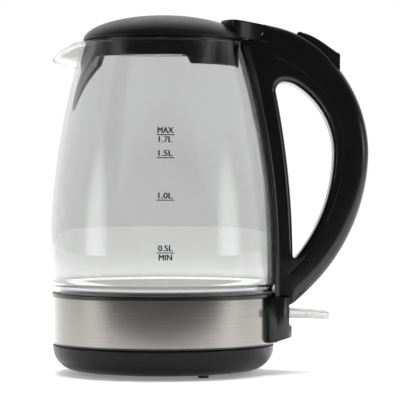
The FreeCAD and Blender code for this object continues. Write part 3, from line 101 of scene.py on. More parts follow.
class Finish:
    """A node material with its shader at hand."""

    def __init__(self, name, **sockets):
        self.material = bpy.data.materials.new(name)
        self.material.use_nodes = True
        self.tree = self.material.node_tree
        self.shader = self.tree.nodes["Principled BSDF"]
        for socket, value in sockets.items():
            self.shader.inputs[socket.replace("_", " ")].default_value = value
        self.place = self.add("ShaderNodeTexCoord").outputs["Object"]

    def add(self, kind, **settings):
        node = self.tree.nodes.new(kind)
        for name, value in settings.items():
            setattr(node, name, value)
        return node

    def link(self, source, target):
        self.tree.links.new(source, target)

    def noise(self, scale, detail=3.0, stretch=(1, 1, 1)):
        """A noise over the object, with features about 1/scale metres across."""
        mapping = self.add("ShaderNodeMapping")
        mapping.inputs["Scale"].default_value = stretch
        self.link(self.place, mapping.inputs["Vector"])
        noise = self.add("ShaderNodeTexNoise")
        noise.inputs["Scale"].default_value = scale
        noise.inputs["Detail"].default_value = detail
        self.link(mapping.outputs["Vector"], noise.inputs["Vector"])
        return noise.outputs["Fac"]

    def spread(self, factor, low, high, socket):
        """Drive a number of the shader between two values."""
        spread = self.add("ShaderNodeMapRange")
        spread.inputs["From Min"].default_value = 0.3
        spread.inputs["From Max"].default_value = 0.7
        spread.inputs["To Min"].default_value = low
        spread.inputs["To Max"].default_value = high
        self.link(factor, spread.inputs["Value"])
        self.link(spread.outputs["Result"], self.shader.inputs[socket])

    def tint(self, factor, first, second):
        """Drive the base colour between two colours."""
        ramp = self.add("ShaderNodeValToRGB")
        ramp.color_ramp.elements[0].position = 0.35
        ramp.color_ramp.elements[0].color = (*first, 1)
        ramp.color_ramp.elements[1].position = 0.65
        ramp.color_ramp.elements[1].color = (*second, 1)
        self.link(factor, ramp.inputs["Fac"])
        self.link(ramp.outputs["Color"], self.shader.inputs["Base Color"])

    def bump(self, factor, strength, depth):
        """Raise the surface by a height in metres, after any bump that is already there."""
        bump = self.add("ShaderNodeBump")
        bump.inputs["Strength"].default_value = strength
        bump.inputs["Distance"].default_value = depth
        self.link(factor, bump.inputs["Height"])
        normal = self.shader.inputs["Normal"]
        if normal.links:
            self.link(normal.links[0].from_socket, bump.inputs["Normal"])
        self.link(bump.outputs["Normal"], normal)


def moulded(name, colour, roughness, grain, grain_depth, **sockets):
    """Moulded plastic: slow colour and gloss drift, and a fine grain."""
    finish = Finish(name, **sockets)
    drift = finish.noise(35.0, 4.0)
    lighter = tuple(c * 1.25 + 0.001 for c in colour)
    finish.tint(drift, colour, lighter)
    finish.spread(finish.noise(90.0, 6.0), roughness * 0.88, roughness * 1.14, "Roughness")
    finish.bump(finish.noise(grain, 2.0), 0.35, grain_depth)
    return finish.material


def brushed(name, colour, roughness, stretch, depth):
    """Steel brushed along one direction, with streaks of uneven gloss."""
    finish = Finish(name, Metallic=1.0)
    streaks = finish.noise(1.0, 5.0, stretch)
    wide = finish.noise(0.28, 3.0, stretch)
    dark = tuple(c * 0.86 for c in colour)
    finish.tint(streaks, dark, colour)
    finish.spread(wide, roughness * 0.85, roughness * 1.2, "Roughness")
    finish.bump(streaks, 0.5, depth)
    return finish


def band_steel():
    """The skirt's steel, brushed round the jug."""
    finish = brushed("band_steel", (0.28, 0.27, 0.255), 0.15, (14, 14, 5200), 0.000012)
    finish.shader.inputs["Anisotropic"].default_value = 0.25
    tangent = finish.add("ShaderNodeTangent", direction_type="RADIAL", axis="Z")
    finish.link(tangent.outputs["Tangent"], finish.shader.inputs["Tangent"])
    return finish.material


def polished_steel():
    """The heater plate: bright steel with faint turning marks and water haze."""
    finish = brushed("heater_steel", (0.46, 0.455, 0.44), 0.16, (60, 60, 60), 0.000004)
    haze = finish.noise(120.0, 6.0)
    finish.spread(haze, 0.12, 0.26, "Roughness")
    return finish.material


def cast_metal(name, colour, roughness):
    """A small metal part with a grainy cast or plated skin."""
    finish = Finish(name, Metallic=1.0)
    dark = tuple(c * 0.8 for c in colour)
    finish.tint(finish.noise(300.0, 4.0), dark, colour)
    finish.spread(finish.noise(700.0, 4.0), roughness * 0.8, roughness * 1.25, "Roughness")
    finish.bump(finish.noise(2500.0, 3.0), 0.3, 0.00002)
    return finish.material


def jug_glass():
    """Clear borosilicate glass with a faint waviness from blowing."""
    finish = Finish("jug_glass", Transmission_Weight=1.0, IOR=1.4, Roughness=0.0)
    finish.tint(finish.noise(18.0, 2.0), (0.715, 0.72, 0.715), (0.74, 0.745, 0.74))
    finish.bump(finish.noise(9.0, 1.0, (1, 1, 0.25)), 0.25, 0.0006)
    return finish.material


def clear_plastic():
    """The lever's clear acrylic, slightly cloudy inside."""
    finish = Finish("clear_plastic", Transmission_Weight=0.7, IOR=1.49, Subsurface_Weight=0.15)
    finish.tint(finish.noise(60.0, 3.0), (0.66, 0.66, 0.65), (0.74, 0.74, 0.73))
    finish.spread(finish.noise(150.0, 4.0), 0.16, 0.28, "Roughness")
    finish.bump(finish.noise(500.0, 2.0), 0.2, 0.00003)
    return finish.material


def soft_rubber(name, colour, roughness):
    """Silicone or rubber with a dusty, fine-grained skin."""
    finish = Finish(name, IOR=1.43, Sheen_Weight=0.1)
    lighter = tuple(min(1.0, c * 1.15 + 0.01) for c in colour)
    finish.tint(finish.noise(80.0, 5.0), colour, lighter)
    finish.spread(finish.noise(240.0, 4.0), roughness * 0.9, min(1.0, roughness * 1.1), "Roughness")
    finish.bump(finish.noise(1800.0, 2.0), 0.4, 0.00003)
    return finish.material


def printed_ink():
    """Screen-printed black ink, a little uneven."""
    finish = Finish("printed_ink", IOR=1.5)
    finish.tint(finish.noise(900.0, 4.0), (0.004, 0.004, 0.004), (0.008, 0.008, 0.009))
    finish.spread(finish.noise(1500.0, 3.0), 0.4, 0.6, "Roughness")
    finish.bump(finish.noise(3000.0, 2.0), 0.3, 0.00001)
    return finish.material


FINISHES = {
    "base_plastic": moulded(
        "base_plastic", (0.003, 0.003, 0.0033), 0.3, 5200.0, 0.00002, Specular_IOR_Level=0.16
    ),
    "handle_plastic": moulded(
        "handle_plastic", (0.002, 0.002, 0.0023), 0.2, 900.0, 0.000003, Specular_IOR_Level=0.45
    ),
    "lid_plastic": moulded(
        "lid_plastic", (0.003, 0.003, 0.0033), 0.34, 4200.0, 0.000014, Specular_IOR_Level=0.4
    ),
    "collar_plastic": moulded("collar_plastic", (0.010, 0.010, 0.011), 0.24, 1500.0, 0.000008),
    "connector_plastic": moulded("connector_plastic", (0.03, 0.03, 0.031), 0.5, 3800.0, 0.00003),
    "foot_rubber": soft_rubber("foot_rubber", (0.03, 0.03, 0.031), 0.75),
    "clear_silicone": soft_rubber("clear_silicone", (0.10, 0.10, 0.10), 0.42),
    "jug_glass": jug_glass(),
    "clear_plastic": clear_plastic(),
    "band_steel": band_steel(),
    "heater_steel": polished_steel(),
    "mesh_steel": cast_metal("mesh_steel", (0.2, 0.2, 0.2), 0.34),
    "screw_steel": cast_metal("screw_steel", (0.58, 0.58, 0.57), 0.32),
    "cast_aluminium": cast_metal("cast_aluminium", (0.62, 0.62, 0.63), 0.45),
    "contact_brass": cast_metal("contact_brass", (0.72, 0.54, 0.22), 0.25),
}


def dress_cad_nodes():
    """Give every CAD node the finish of its material slot."""
    slots = {s["node"]: s["material_slot"] for s in frame["record"]["subparts"]}
    for name, node in frame["nodes"].items():
        node.data.materials.clear()
        node.data.materials.append(FINISHES[slots[name]])
        node.data.shade_smooth()
        node.data.set_sharp_from_angle(angle=math.radians(35))


def round_cad_edges(node, width):
    """Give a moulded part's sharp edges a visible rounding."""
    part = frame["nodes"][node]
    weld = part.modifiers.new("weld", "WELD")
    weld.merge_threshold = 0.00002
    rounding = part.modifiers.new("rounding", "BEVEL")
    rounding.width = width * MM
    rounding.segments = 3
    rounding.limit_method = "ANGLE"
    rounding.angle_limit = math.radians(40)
    rounding.harden_normals = True


# --- meshes ---------------------------------------------------------------------------------------


def make_piece(name, points, faces, slot, body, *replaced, finish=None, sharp=40):
    """A piece from points in millimetres, riding on a body."""
    mesh = bpy.data.meshes.new(name)
    mesh.from_pydata([tuple(p * MM for p in point) for point in points], [], faces)
    mesh.validate()
    mesh.materials.append(finish or FINISHES[slot])
    mesh.shade_smooth()
    mesh.set_sharp_from_angle(angle=math.radians(sharp))
    piece = bpy.data.objects.new(name, mesh)
    bpy.context.scene.collection.objects.link(piece)
    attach(piece, body)
    if replaced:
        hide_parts(*replaced)
    return piece


def grid_faces(rows, columns, closed_rows=False, closed_columns=False):
    """Quads over a grid of points stored row by row."""
    faces = []
    for r in range(rows if closed_rows else rows - 1):
        for c in range(columns if closed_columns else columns - 1):
            down, right = (r + 1) % rows, (c + 1) % columns
            faces.append((r * columns + c, r * columns + right, down * columns + right, down * columns + c))
    return faces


def line_to(x, z, rounding=0.4):
    return {"end": (x, z), "rounding": rounding}


def arc_to(x, z, radius, side, rounding=0.4):
    return {"end": (x, z), "rounding": rounding, "radius": radius, "side": side}


def trace(start, *legs, step=1.6):
    """Points round a closed outline, and how much its edge is rounded at each."""
    points, roundings = [], []
    here = np.array(start, float)
    for leg in (*legs, line_to(*start)):
        there = np.array(leg["end"], float)
        chord = there - here
        length = np.linalg.norm(chord)
        if length < 1e-6:
            continue
        if "radius" in leg:
            radius, side = leg["radius"], leg["side"]
            square = np.array((-chord[1], chord[0])) / length
            centre = (here + there) / 2 + square * side * math.sqrt(max(radius**2 - length**2 / 4, 0.0))
            sweep = 2 * math.asin(min(1.0, length / 2 / radius))
            count = max(3, math.ceil(sweep * radius / step), math.ceil(sweep / 0.2))
            start_angle = math.atan2(*(here - centre)[::-1])
            angles = start_angle + side * sweep * np.arange(count) / count
            run = centre + radius * np.stack([np.cos(angles), np.sin(angles)], 1)
        else:
            count = max(1, math.ceil(length / step))
            run = here + chord * (np.arange(count) / count)[:, None]
        points.append(run)
        roundings.append(np.full(len(run), leg["rounding"], float))
        here = there
    return np.vstack(points), np.concatenate(roundings)


def soften(roundings, passes=14):
    """Taper the larger roundings down to the smaller ones beside them."""
    limit = roundings.copy()
    for _ in range(passes):
        blurred = (np.roll(roundings, 1) + 2 * roundings + np.roll(roundings, -1)) / 4
        roundings = np.minimum(limit, blurred)
    return roundings


def inward(points):
    """The direction into the material at each point of an outline that keeps the material on its left."""
    along = np.roll(points, -1, 0) - points
    along /= np.linalg.norm(along, axis=1)[:, None]
    square = np.stack([-along[:, 1], along[:, 0]], 1)
    both = square + np.roll(square, 1, 0)
    size = np.maximum((both**2).sum(1), 1.0)
    return 2 * both / size[:, None]


def rounded_slab(loops, half_width, steps=7):
    """A slab across Y with rounded edges: its points and faces.

    Each loop is (points, roundings), with the material on its left: the outline first and then any holes.
    """
    points, faces, caps = [], [], ([], [])
    for outline, roundings in loops:
        normals = inward(outline)
        base = len(points)
        rows = []
        for k in range(steps + 1):
            angle = 0.5 * math.pi * k / steps
            ring = outline + normals * (roundings * (1 - math.cos(angle)))[:, None]
            rows.append((ring, half_width - roundings * (1 - math.sin(angle))))
        for ring, across in [(r, -a) for r, a in reversed(rows)] + rows:
            points.extend((x, y, z) for (x, z), y in zip(ring, across))
        count = len(outline)
        total = 2 * len(rows)
        sides = grid_faces(total, count, closed_columns=True)
        faces += [tuple(base + i for i in reversed(face)) for face in sides]
        caps[0].append((rows[-1][0], base))
        caps[1].append((rows[-1][0], base + (total - 1) * count))
    for side, parts in enumerate(caps):
        names = [start + i for ring, start in parts for i in range(len(ring))]
        polygons = [[Vector((x, z, 0)) for x, z in ring] for ring, _ in parts]
        for triangle in tessellate_polygon(polygons):
            corners = [names[i] for i in triangle]
            a, b, c = (np.array(points[i]) for i in corners)
            facing = np.cross(b - a, c - a)[1]
            faces.append(tuple(corners if (facing > 0) == (side == 1) else reversed(corners)))
    return points, faces


# --- glass ----------------------------------------------------------------------------------------


def glass_jug():
    """The jug's glass: one wall with a rounded rim, pulled out into a spout."""
    columns = 240
    around = 2 * math.pi * np.arange(columns) / columns
    from_spout = np.abs(around - math.pi)
    pull = (0.5 + 0.5 * np.cos(np.pi * np.clip(from_spout / math.radians(31), 0, 1))) ** 1.25
    top = RIM - 0.5 * GLASS_WALL
    flare_low, flare_high = 186.0, RIM - 18.5
    foot = [
        (JUG_RADIUS - 2.2, GLASS_FOOT),
        (JUG_RADIUS - 2.2, GLASS_FOOT + 1.2),
        (JUG_RADIUS - 2.0, GLASS_FOOT + 2.4),
        (JUG_RADIUS - 1.2, GLASS_FOOT + 3.6),
        (JUG_RADIUS - 0.3, GLASS_FOOT + 4.6),
        (JUG_RADIUS, GLASS_FOOT + 6.0),
    ]
    wall = [(float(wall_radius(z)), z) for z in np.linspace(GLASS_FOOT + 9, flare_low, 40)]
    plain, pulled = [], []
    lip = [
        (wall_radius(flare_high), flare_high),
        (NECK_RADIUS + 6.6, RIM - 15.7),
        (NECK_RADIUS + 11.9, RIM - 15.6),
        (NECK_RADIUS + 19.4, RIM - 13.1),
    ]
    lip = np.array(lip, float)
    for share in np.linspace(0, 1, 34)[1:]:
        z = flare_low + share * (top - flare_low)
        plain.append((float(wall_radius(z)), z))
        if share < 0.5:
            z = flare_low + 2 * share * (flare_high - flare_low)
            pulled.append((float(wall_radius(z)), z))
        else:
            t = 2 * share - 1
            start, leave, reach, tip = lip
            near_half = (1 - t) ** 3 * start + 3 * t * (1 - t) ** 2 * leave
            pulled.append(near_half + 3 * t * t * (1 - t) * reach + t**3 * tip)
    profile = np.array(foot + wall + plain, float)
    spout = np.array(foot + wall + [tuple(p) for p in pulled], float)
    radius = profile[:, None, 0] + (spout - profile)[:, None, 0] * pull[None, :]
    height = profile[:, None, 1] + (spout - profile)[:, None, 1] * pull[None, :] ** 2
    outer = np.stack([radius * np.cos(around), radius * np.sin(around), height], 2)
    upwards = np.gradient(outer, axis=0)
    sideways = np.roll(outer, -1, 1) - np.roll(outer, 1, 1)
    normal = np.cross(sideways, upwards)
    normal /= np.linalg.norm(normal, axis=2)[:, :, None]
    upwards /= np.linalg.norm(upwards, axis=2)[:, :, None]
    half = 0.5 * GLASS_WALL
    middle = outer[-1] - normal[-1] * half
    rim = []
    for angle in np.linspace(0, math.pi, 9)[1:-1]:
        rim.append(middle + half * (normal[-1] * math.cos(angle) + upwards[-1] * math.sin(angle)))
    inner = (outer - normal * GLASS_WALL)[::-1]
    rows = np.concatenate([outer, np.array(rim), inner])
    points = rows.reshape(-1, 3)
    faces = grid_faces(len(rows), columns, closed_rows=True, closed_columns=True)
    return make_piece("jug_glass_wall", points, faces, "jug_glass", "jug", "glass_jug", sharp=60)


def flat_text(words, width, height):
    """The triangles of a line of lettering, fitted to a width and a height and centred."""
    curve = bpy.data.curves.new("lettering", "FONT")
    curve.body = words
    curve.resolution_u = 4
    carrier = bpy.data.objects.new("lettering", curve)
    bpy.context.scene.collection.objects.link(carrier)
    mesh = bpy.data.meshes.new_from_object(carrier)
    points = np.array([v.co[:2] for v in mesh.vertices], float)
    faces = [tuple(p.vertices) for p in mesh.polygons]
    bpy.data.objects.remove(carrier)
    low, high = points.min(0), points.max(0)
    points = (points - low) / (high - low)
    return (points - (0.5, 0)) * (width, height), faces


BOLDER = (-0.2, -0.1, 0, 0.1, 0.2)


def level_marks():
    """The litre marks printed on the front of the glass."""
    centre = 2.7
    letter = 3.8
    rule = (11.6, 0.62)
    rows = [
        (159.3, "MAX", 10.1, "1.7L", 8.6),
        (144.4, "1.5L", 9.0, None, 0),
        (117.1, "1.0L", 9.0, None, 0),
        (83.2, "0.5L", 9.2, "MIN", 8.4),
    ]
    points, faces = [], []

    def place(flat, cells, left, low):
        base = len(points)
        for x, z in flat + (left, low):
            radius = float(wall_radius(z, 0.04))
            angle = x / radius - 0.5 * math.pi
            points.append((radius * math.cos(angle), radius * math.sin(angle), z))
        faces.extend(tuple(base + i for i in cell) for cell in cells)

    across = np.linspace(-0.5, 0.5, 13)
    bar = np.array([(a, b) for b in (0, 1) for a in across]) * rule
    bar_faces = grid_faces(2, len(across))
    for height, above, above_width, below, below_width in rows:
        place(bar, bar_faces, centre, height - 0.5 * rule[1])
        for shift in BOLDER:
            place(*flat_text(above, above_width, letter), centre + shift, height + 1.0 + 0.4 * abs(shift))
            if below:
                place(*flat_text(below, below_width, letter), centre + shift, height - 1.0 - letter)
    piece = make_piece("level_marks", points, faces, None, "jug", finish=printed_ink())
    skin = piece.modifiers.new("ink", "SOLIDIFY")
    skin.thickness = 0.05 * MM
    skin.offset = 1.0
    return piece


# --- collar ---------------------------------------------------------------------------------------


def neck_collar():
    """The collar in the jug's mouth: a flange on the rim and a skirt that hangs lower near the handle."""
    low, high = box_mm("neck_collar")
    flange, skirt, wall = high.y, high.y - 1.9, 2.4
    columns = 180
    points = []
    for column in range(columns):
        angle = 2 * math.pi * column / columns
        turned = (math.degrees(angle) + 180) % 360 - 180
        past_lobe = float(ease((abs(turned) - 68) / 4))
        to_back = float(ease((90 - abs(turned - 90)) / 14))
        foot = low.z + 5.8 * past_lobe + to_back * (12.0 - 5.8 * past_lobe)
        section = [
            (flange, high.z - 0.4),
            (flange - 0.4, high.z),
            (skirt - wall + 0.4, high.z),
            (skirt - wall, high.z - 0.4),
            (skirt - wall, foot + 0.5),
            (skirt - wall + 0.5, foot),
            (skirt - 0.6, foot),
            (skirt, foot + 0.6),
            (skirt, foot + 4.0),
            (skirt - 0.3, foot + 4.2),
            (skirt - 0.3, foot + 4.5),
            (skirt, foot + 4.7),
            (skirt, high.z - 1.0),
            (flange, high.z - 1.0),
        ]
        points.extend((r * math.cos(angle), r * math.sin(angle), z) for r, z in section)
    faces = grid_faces(columns, len(points) // columns, closed_rows=True, closed_columns=True)
    return make_piece("neck_collar_ring", points, faces, "collar_plastic", "jug", "neck_collar")


# --- spout filter ---------------------------------------------------------------------------------


def filter_wires():
    """The woven wires of the spout filter, across its shield-shaped window."""
    low_box, high_box = box_mm("filter_mesh")
    depth = -4.3
    pitch = 0.85
    wire = 0.17
    low, high, half = low_box.z, high_box.z, high_box.y
    corner = low + 28.6
    narrow = 1.6
    points, faces = [], []

    def place(y, z, lift):
        radius = float(wall_radius(z, depth)) + lift
        return np.array((-math.sqrt(radius**2 - y**2), y, z))

    def thread(path):
        base = len(points)
        for x, y, z in path:
            back, low = (x - wire, y, z), (x, y - wire, z - wire)
            front, high = (x + wire, y, z), (x, y + wire, z + wire)
            points.extend([back, low, front, high])
        faces.extend(
            tuple(base + i for i in face) for face in grid_faces(len(path), 4, closed_columns=True)
        )

    columns = int(2 * half / pitch)
    levels = int((high - low) / pitch)
    for i in range(columns + 1):
        y = -half + 2 * half * i / columns
        start = low + max(0.0, (abs(y) - narrow) / (half - narrow)) * (corner - low)
        heights = np.arange(start, high, 0.5 * pitch)
        if len(heights) > 2:
            sway = [wire * math.sin(math.pi * (z - low) / pitch + math.pi * i) for z in heights]
            thread([place(y, z, s) for z, s in zip(heights, sway)])
    for j in range(levels + 1):
        z = low + (high - low) * j / levels
        reach = half if z > corner else narrow + (half - narrow) * (z - low) / (corner - low)
        places = np.arange(-reach, reach + 1e-6, 0.5 * pitch)
        if len(places) > 2:
            sway = [-wire * math.sin(math.pi * (y + half) / pitch + math.pi * j) for y in places]
            thread([place(y, z, s) for y, s in zip(places, sway)])
    return make_piece("filter_wire_mesh", points, faces, "mesh_steel", "jug", "filter_mesh")


# --- handle ---------------------------------------------------------------------------------------

HOUSING_BACK = JUG_RADIUS + 8.1
SEAM_LOW = (HOUSING_BACK, ring_high.z + 12.4)
SEAM_MIDDLE = (GRIP_X - 16.9, MIDDLE_Z)
SEAM_TOP = (NECK_RADIUS + 23.4, RIM - 11.9)
SEAM_STEP = (NECK_RADIUS + 18.8, RIM - 7.7)
SEAM_CORNER = (NECK_RADIUS + 16.3, RIM - 0.8)
OUTER_MIDDLE = (GRIP_X, MIDDLE_Z)
OUTER_SHOULDER = (GRIP_X - 26.1, RIM - 10.7)
OUTER_END = (JUG_RADIUS + 12.1, band_high.z - 4.0)
JOINTS = {j["name"]: j for j in frame["joints"]}
HINGE = Vector(JOINTS["lid_open"]["pos_m"]) / MM
SOCKET = 8.2
STRAP_TOP = RIM + 1.5


def socket_point(height):
    """A place on the round socket that the lid's knuckle turns in."""
    return HINGE.x + math.sqrt(SOCKET**2 - (height - HINGE.z) ** 2), height


def finger_opening():
    """The hole that the fingers go through, with the material on its left."""
    strap_back = JUG_RADIUS + 10.9
    corner_x = NECK_RADIUS + 26.7
    top = RIM - 27.1
    low = GLASS_FOOT + 21.6
    return trace(
        (strap_back, low + 2),
        arc_to(corner_x - 5.1, top - 6.9, WALL_ARC + 77.6, LEFT, 4.2),
        arc_to(corner_x, top, 5.8, RIGHT, 5.0),
        arc_to(corner_x + 10.2, top - 3.5, 16.0, RIGHT, 5.0),
        arc_to(GRIP_X - 23.8, MIDDLE_Z, 54.5, RIGHT, 5.0),
        arc_to(strap_back + 2.4, low + 1.4, 112.0, RIGHT, 5.0),
        arc_to(strap_back, low + 2, 1.3, RIGHT, 1.0),
    )


def hug_glass(points):
    """Bend the strap's glass side round the jug."""
    bent = []
    for x, y, z in points:
        radius = float(wall_radius(z)) + 0.3
        share = ease(1 - (x - radius) / 7.0) if x > radius - 1 else 1.0
        bent.append((x - share * (radius - math.sqrt(radius**2 - y**2)), y, z))
    return bent


def handle_inner():
    """The strap along the glass and the grip's inner skin."""
    low = band_high.z + 0.3
    start = (float(wall_radius(STRAP_TOP, 0.3)), STRAP_TOP)
    outline = trace(
        start,
        arc_to(JUG_RADIUS + 0.3, SHOULDER, WALL_ARC + 0.3, RIGHT, 0.3),
        line_to(JUG_RADIUS + 0.3, low, 0.3),
        line_to(HOUSING_BACK, low, 0.3),
        line_to(*SEAM_LOW, 0.8),
        arc_to(*SEAM_MIDDLE, 118.0, LEFT, 0.35),
        arc_to(*SEAM_TOP, 67.5, LEFT, 0.35),
        line_to(*SEAM_STEP, 0.35),
        line_to(*SEAM_CORNER, 0.35),
        line_to(*socket_point(STRAP_TOP), 0.35),
        arc_to(2 * HINGE.x - socket_point(STRAP_TOP)[0], STRAP_TOP, SOCKET, RIGHT, 0.3),
    )
    hole = finger_opening()
    loops = [(outline[0], soften(outline[1])), (hole[0], soften(hole[1]))]
    points, faces = rounded_slab(loops, HANDLE_HALF)
    points = hug_glass(points)
    flange_points, flange_faces = strap_flange(low)
    base = len(points)
    faces += [tuple(base + i for i in face) for face in flange_faces]
    points += flange_points
    name = "handle_inner_moulding"
    return make_piece(name, points, faces, "handle_plastic", "jug", "handle_frame", sharp=50)


def strap_flange(low):
    """The thin wings that flare from the strap onto the glass, one each side."""
    points, faces = [], []
    heights = np.linspace(low, RIM - 3, 60)
    for side in (-1, 1):
        base = len(points)
        for z in heights:
            radius = float(wall_radius(z)) + 0.3
            spread = 3.6 + 3.0 * float(ease((z - 176) / 30))
            wing = HANDLE_HALF + 3.6
            ridge = radius + 0.4 + 0.35 * spread
            section = [
                (math.sqrt(radius**2 - (HANDLE_HALF - 2) ** 2), HANDLE_HALF - 2),
                (math.sqrt(radius**2 - wing**2), wing),
                (math.sqrt(radius**2 - wing**2) + 0.7, wing + 0.05),
                (math.sqrt(radius**2 - wing**2) + 1.1, wing - 0.2),
                (ridge - 1.3, HANDLE_HALF + 0.9),
                (ridge - 0.2, HANDLE_HALF + 0.25),
                (ridge + 0.9, HANDLE_HALF + 0.02),
                (ridge + 1.0, HANDLE_HALF - 2),
            ]
            points.extend((x, side * y, z) for x, y in section)
        count = len(heights)
        cells = grid_faces(count, 8, closed_columns=True)
        ends = [tuple(range(8)), tuple(reversed(range((count - 1) * 8, count * 8)))]
        cells = cells + ends
        faces += [tuple(base + i for i in (cell if side == -1 else reversed(cell))) for cell in cells]
    return points, faces


def handle_outer():
    """The back of the handle, from the lid's socket down to the switch housing."""
    top = socket_point(HINGE.z + 2.6)
    outline = trace(
        socket_point(STRAP_TOP),
        line_to(*SEAM_CORNER, 0.35),
        line_to(*SEAM_STEP, 0.35),
        line_to(*SEAM_TOP, 0.35),
        arc_to(*SEAM_MIDDLE, 67.5, RIGHT, 0.35),
        arc_to(*SEAM_LOW, 118.0, RIGHT, 0.35),
        line_to(HOUSING_BACK, band_high.z - 5.9, 0.5),
        line_to(*OUTER_END, 1.5),
        arc_to(*OUTER_MIDDLE, 131.0, LEFT, 8.0),
        arc_to(*OUTER_SHOULDER, 93.4, LEFT, 8.0),
        arc_to(*top, 71.7, LEFT, 5.3),
        arc_to(*socket_point(STRAP_TOP), SOCKET, RIGHT, 0.4),
    )
    window = button_window()
    points, faces = rounded_slab([(outline[0], soften(outline[1]))], HANDLE_HALF)
    name = "handle_outer_moulding"
    piece = make_piece(name, points, faces, "handle_plastic", "jug", "handle_cover", sharp=50)
    cut = piece.modifiers.new("button_window", "BOOLEAN")
    cut.operation = "DIFFERENCE"
    cut.solver = "EXACT"
    cut.object = window
    bpy.context.view_layer.update()
    graph = bpy.context.evaluated_depsgraph_get()
    cut_mesh = bpy.data.meshes.new_from_object(piece.evaluated_get(graph))
    piece.modifiers.clear()
    piece.data = cut_mesh
    bpy.data.objects.remove(window)
    return piece


def button_window():
    """The room in the handle's back that the button rocks in, as a cutter."""
    low_box, high_box = box_mm("release_button")
    gap = 0.35
    outline = np.array(
        [
            (low_box.x - 1.8, RIM - 7),
            (high_box.x + gap, RIM - 31),
            (high_box.x + gap, RIM + 14),
            (low_box.x - 1.8, RIM + 14),
        ],
        float,
    )
    points, faces = rounded_slab([(outline, np.full(4, 0.01))], high_box.y + gap, steps=1)
    mesh = bpy.data.meshes.new("button_window")
    mesh.from_pydata([tuple(p * MM for p in point) for point in points], [], faces)
    cutter = bpy.data.objects.new("button_window", mesh)
    bpy.context.scene.collection.objects.link(cutter)
    return cutter


# --- lever ----------------------------------------------------------------------------------------


def clear_lever():
    """The clear on/off lever: a flat blade with rounded corners that thins towards its end."""
    half = lever_high.y
    root_x, tip = HOUSING_BACK - 2.6, lever_high.x
    corner = 6.0
    outline = trace(
        (root_x, -half),
        line_to(tip - corner, -half, 0.9),
        arc_to(tip, corner - half, corner, LEFT, 0.9),
        line_to(tip, half - corner, 0.9),
        arc_to(tip - corner, half, corner, LEFT, 0.9),
        line_to(root_x, half, 0.9),
    )
    thick = 5.9
    slab, faces = rounded_slab([(outline[0], soften(outline[1], 4))], 0.5 * thick, steps=4)
    top = lever_high.z
    points = []
    for x, lift, y in slab:
        share = (x - root_x) / (tip - root_x)
        middle = top - 0.5 * thick - share * 1.6
        points.append((x, y, middle + lift * (1 - 0.19 * share)))
    faces = [tuple(reversed(face)) for face in faces]
    return make_piece("clear_lever_blade", points, faces, "clear_plastic", "lever", "switch_lever")


# Painted light on the floor: its glow strength near the kettle and far behind it, and the depths in metres over
# which the glow rises.
FLOOR_GLOW_NEAR, FLOOR_GLOW_FAR = 0.22, 0.74
FLOOR_GLOW_RISE = (0.15, 1.2)
# Painted shade: the depths in metres over which the floor turns dark in front of the kettle.
FLOOR_SHADE_FADE = (-0.55, -0.22)
GLOW_TOWARDS = (0.951, -0.309, 0)
GLOW_EDGE, GLOW = 0.955, 4.2
EYE = (0.0249, -1.35, 0.1217)


# --- stage ----------------------------------------------------------------------------------------


def pale_floor():
    """The floor: a pale sweep with painted light, glowing more towards the backdrop, and painted shade that
    darkens it in front of the kettle.
    """
    mesh = bpy.data.meshes.new("floor")
    size = 6.0
    corners = [(-size, -size, 0), (size, -size, 0), (size, size, 0), (-size, size, 0)]
    mesh.from_pydata(corners, [], [(0, 1, 2, 3)])
    finish = Finish("floor", Roughness=0.6)
    finish.bump(finish.noise(60.0, 3.0), 0.1, 0.0001)
    split = finish.add("ShaderNodeSeparateXYZ")
    finish.link(finish.place, split.inputs["Vector"])
    # Painted light: the floor glows, weakly near the kettle and more strongly towards the backdrop.
    glow_by_depth = finish.add("ShaderNodeMapRange")
    glow_by_depth.inputs["From Min"].default_value = FLOOR_GLOW_RISE[0]
    glow_by_depth.inputs["From Max"].default_value = FLOOR_GLOW_RISE[1]
    glow_by_depth.inputs["To Min"].default_value = FLOOR_GLOW_NEAR
    glow_by_depth.inputs["To Max"].default_value = FLOOR_GLOW_FAR
    finish.link(split.outputs["Y"], glow_by_depth.inputs["Value"])
    # Painted shade: in front of the kettle the floor turns dark and its painted glow fades out.
    front_shade_fade = finish.add("ShaderNodeMapRange", interpolation_type="SMOOTHSTEP")
    front_shade_fade.inputs["From Min"].default_value = FLOOR_SHADE_FADE[0]
    front_shade_fade.inputs["From Max"].default_value = FLOOR_SHADE_FADE[1]
    finish.link(split.outputs["Y"], front_shade_fade.inputs["Value"])
    strength = finish.add("ShaderNodeMath", operation="MULTIPLY")
    finish.link(glow_by_depth.outputs["Result"], strength.inputs[0])
    finish.link(front_shade_fade.outputs["Result"], strength.inputs[1])
    finish.link(strength.outputs["Value"], finish.shader.inputs["Emission Strength"])
    # Painted shade: the floor's colour runs from dark in front of the kettle to pale behind it.
    finish.tint(front_shade_fade.outputs["Result"], (0.16, 0.16, 0.16), (0.91, 0.91, 0.91))
    finish.shader.inputs["Emission Color"].default_value = (1, 1, 1, 1)
    mesh.materials.append(finish.material)
    floor = bpy.data.objects.new("floor", mesh)
    bpy.context.scene.collection.objects.link(floor)


def soft_light(name, place, target, width, height, power):
    """A softbox that faces a target and is not mirrored; places are in metres."""
    light = bpy.data.lights.new(name, "AREA")
    light.shape = "RECTANGLE"
    light.size, light.size_y, light.energy = width, height, power
    light.spread = math.radians(150)
    lamp = bpy.data.objects.new(name, light)
    lamp.visible_glossy = False
    lamp.visible_transmission = False
    lamp.location = place
    lamp.rotation_euler = (Vector(target) - Vector(place)).to_track_quat("-Z", "Y").to_euler()
    bpy.context.scene.collection.objects.link(lamp)


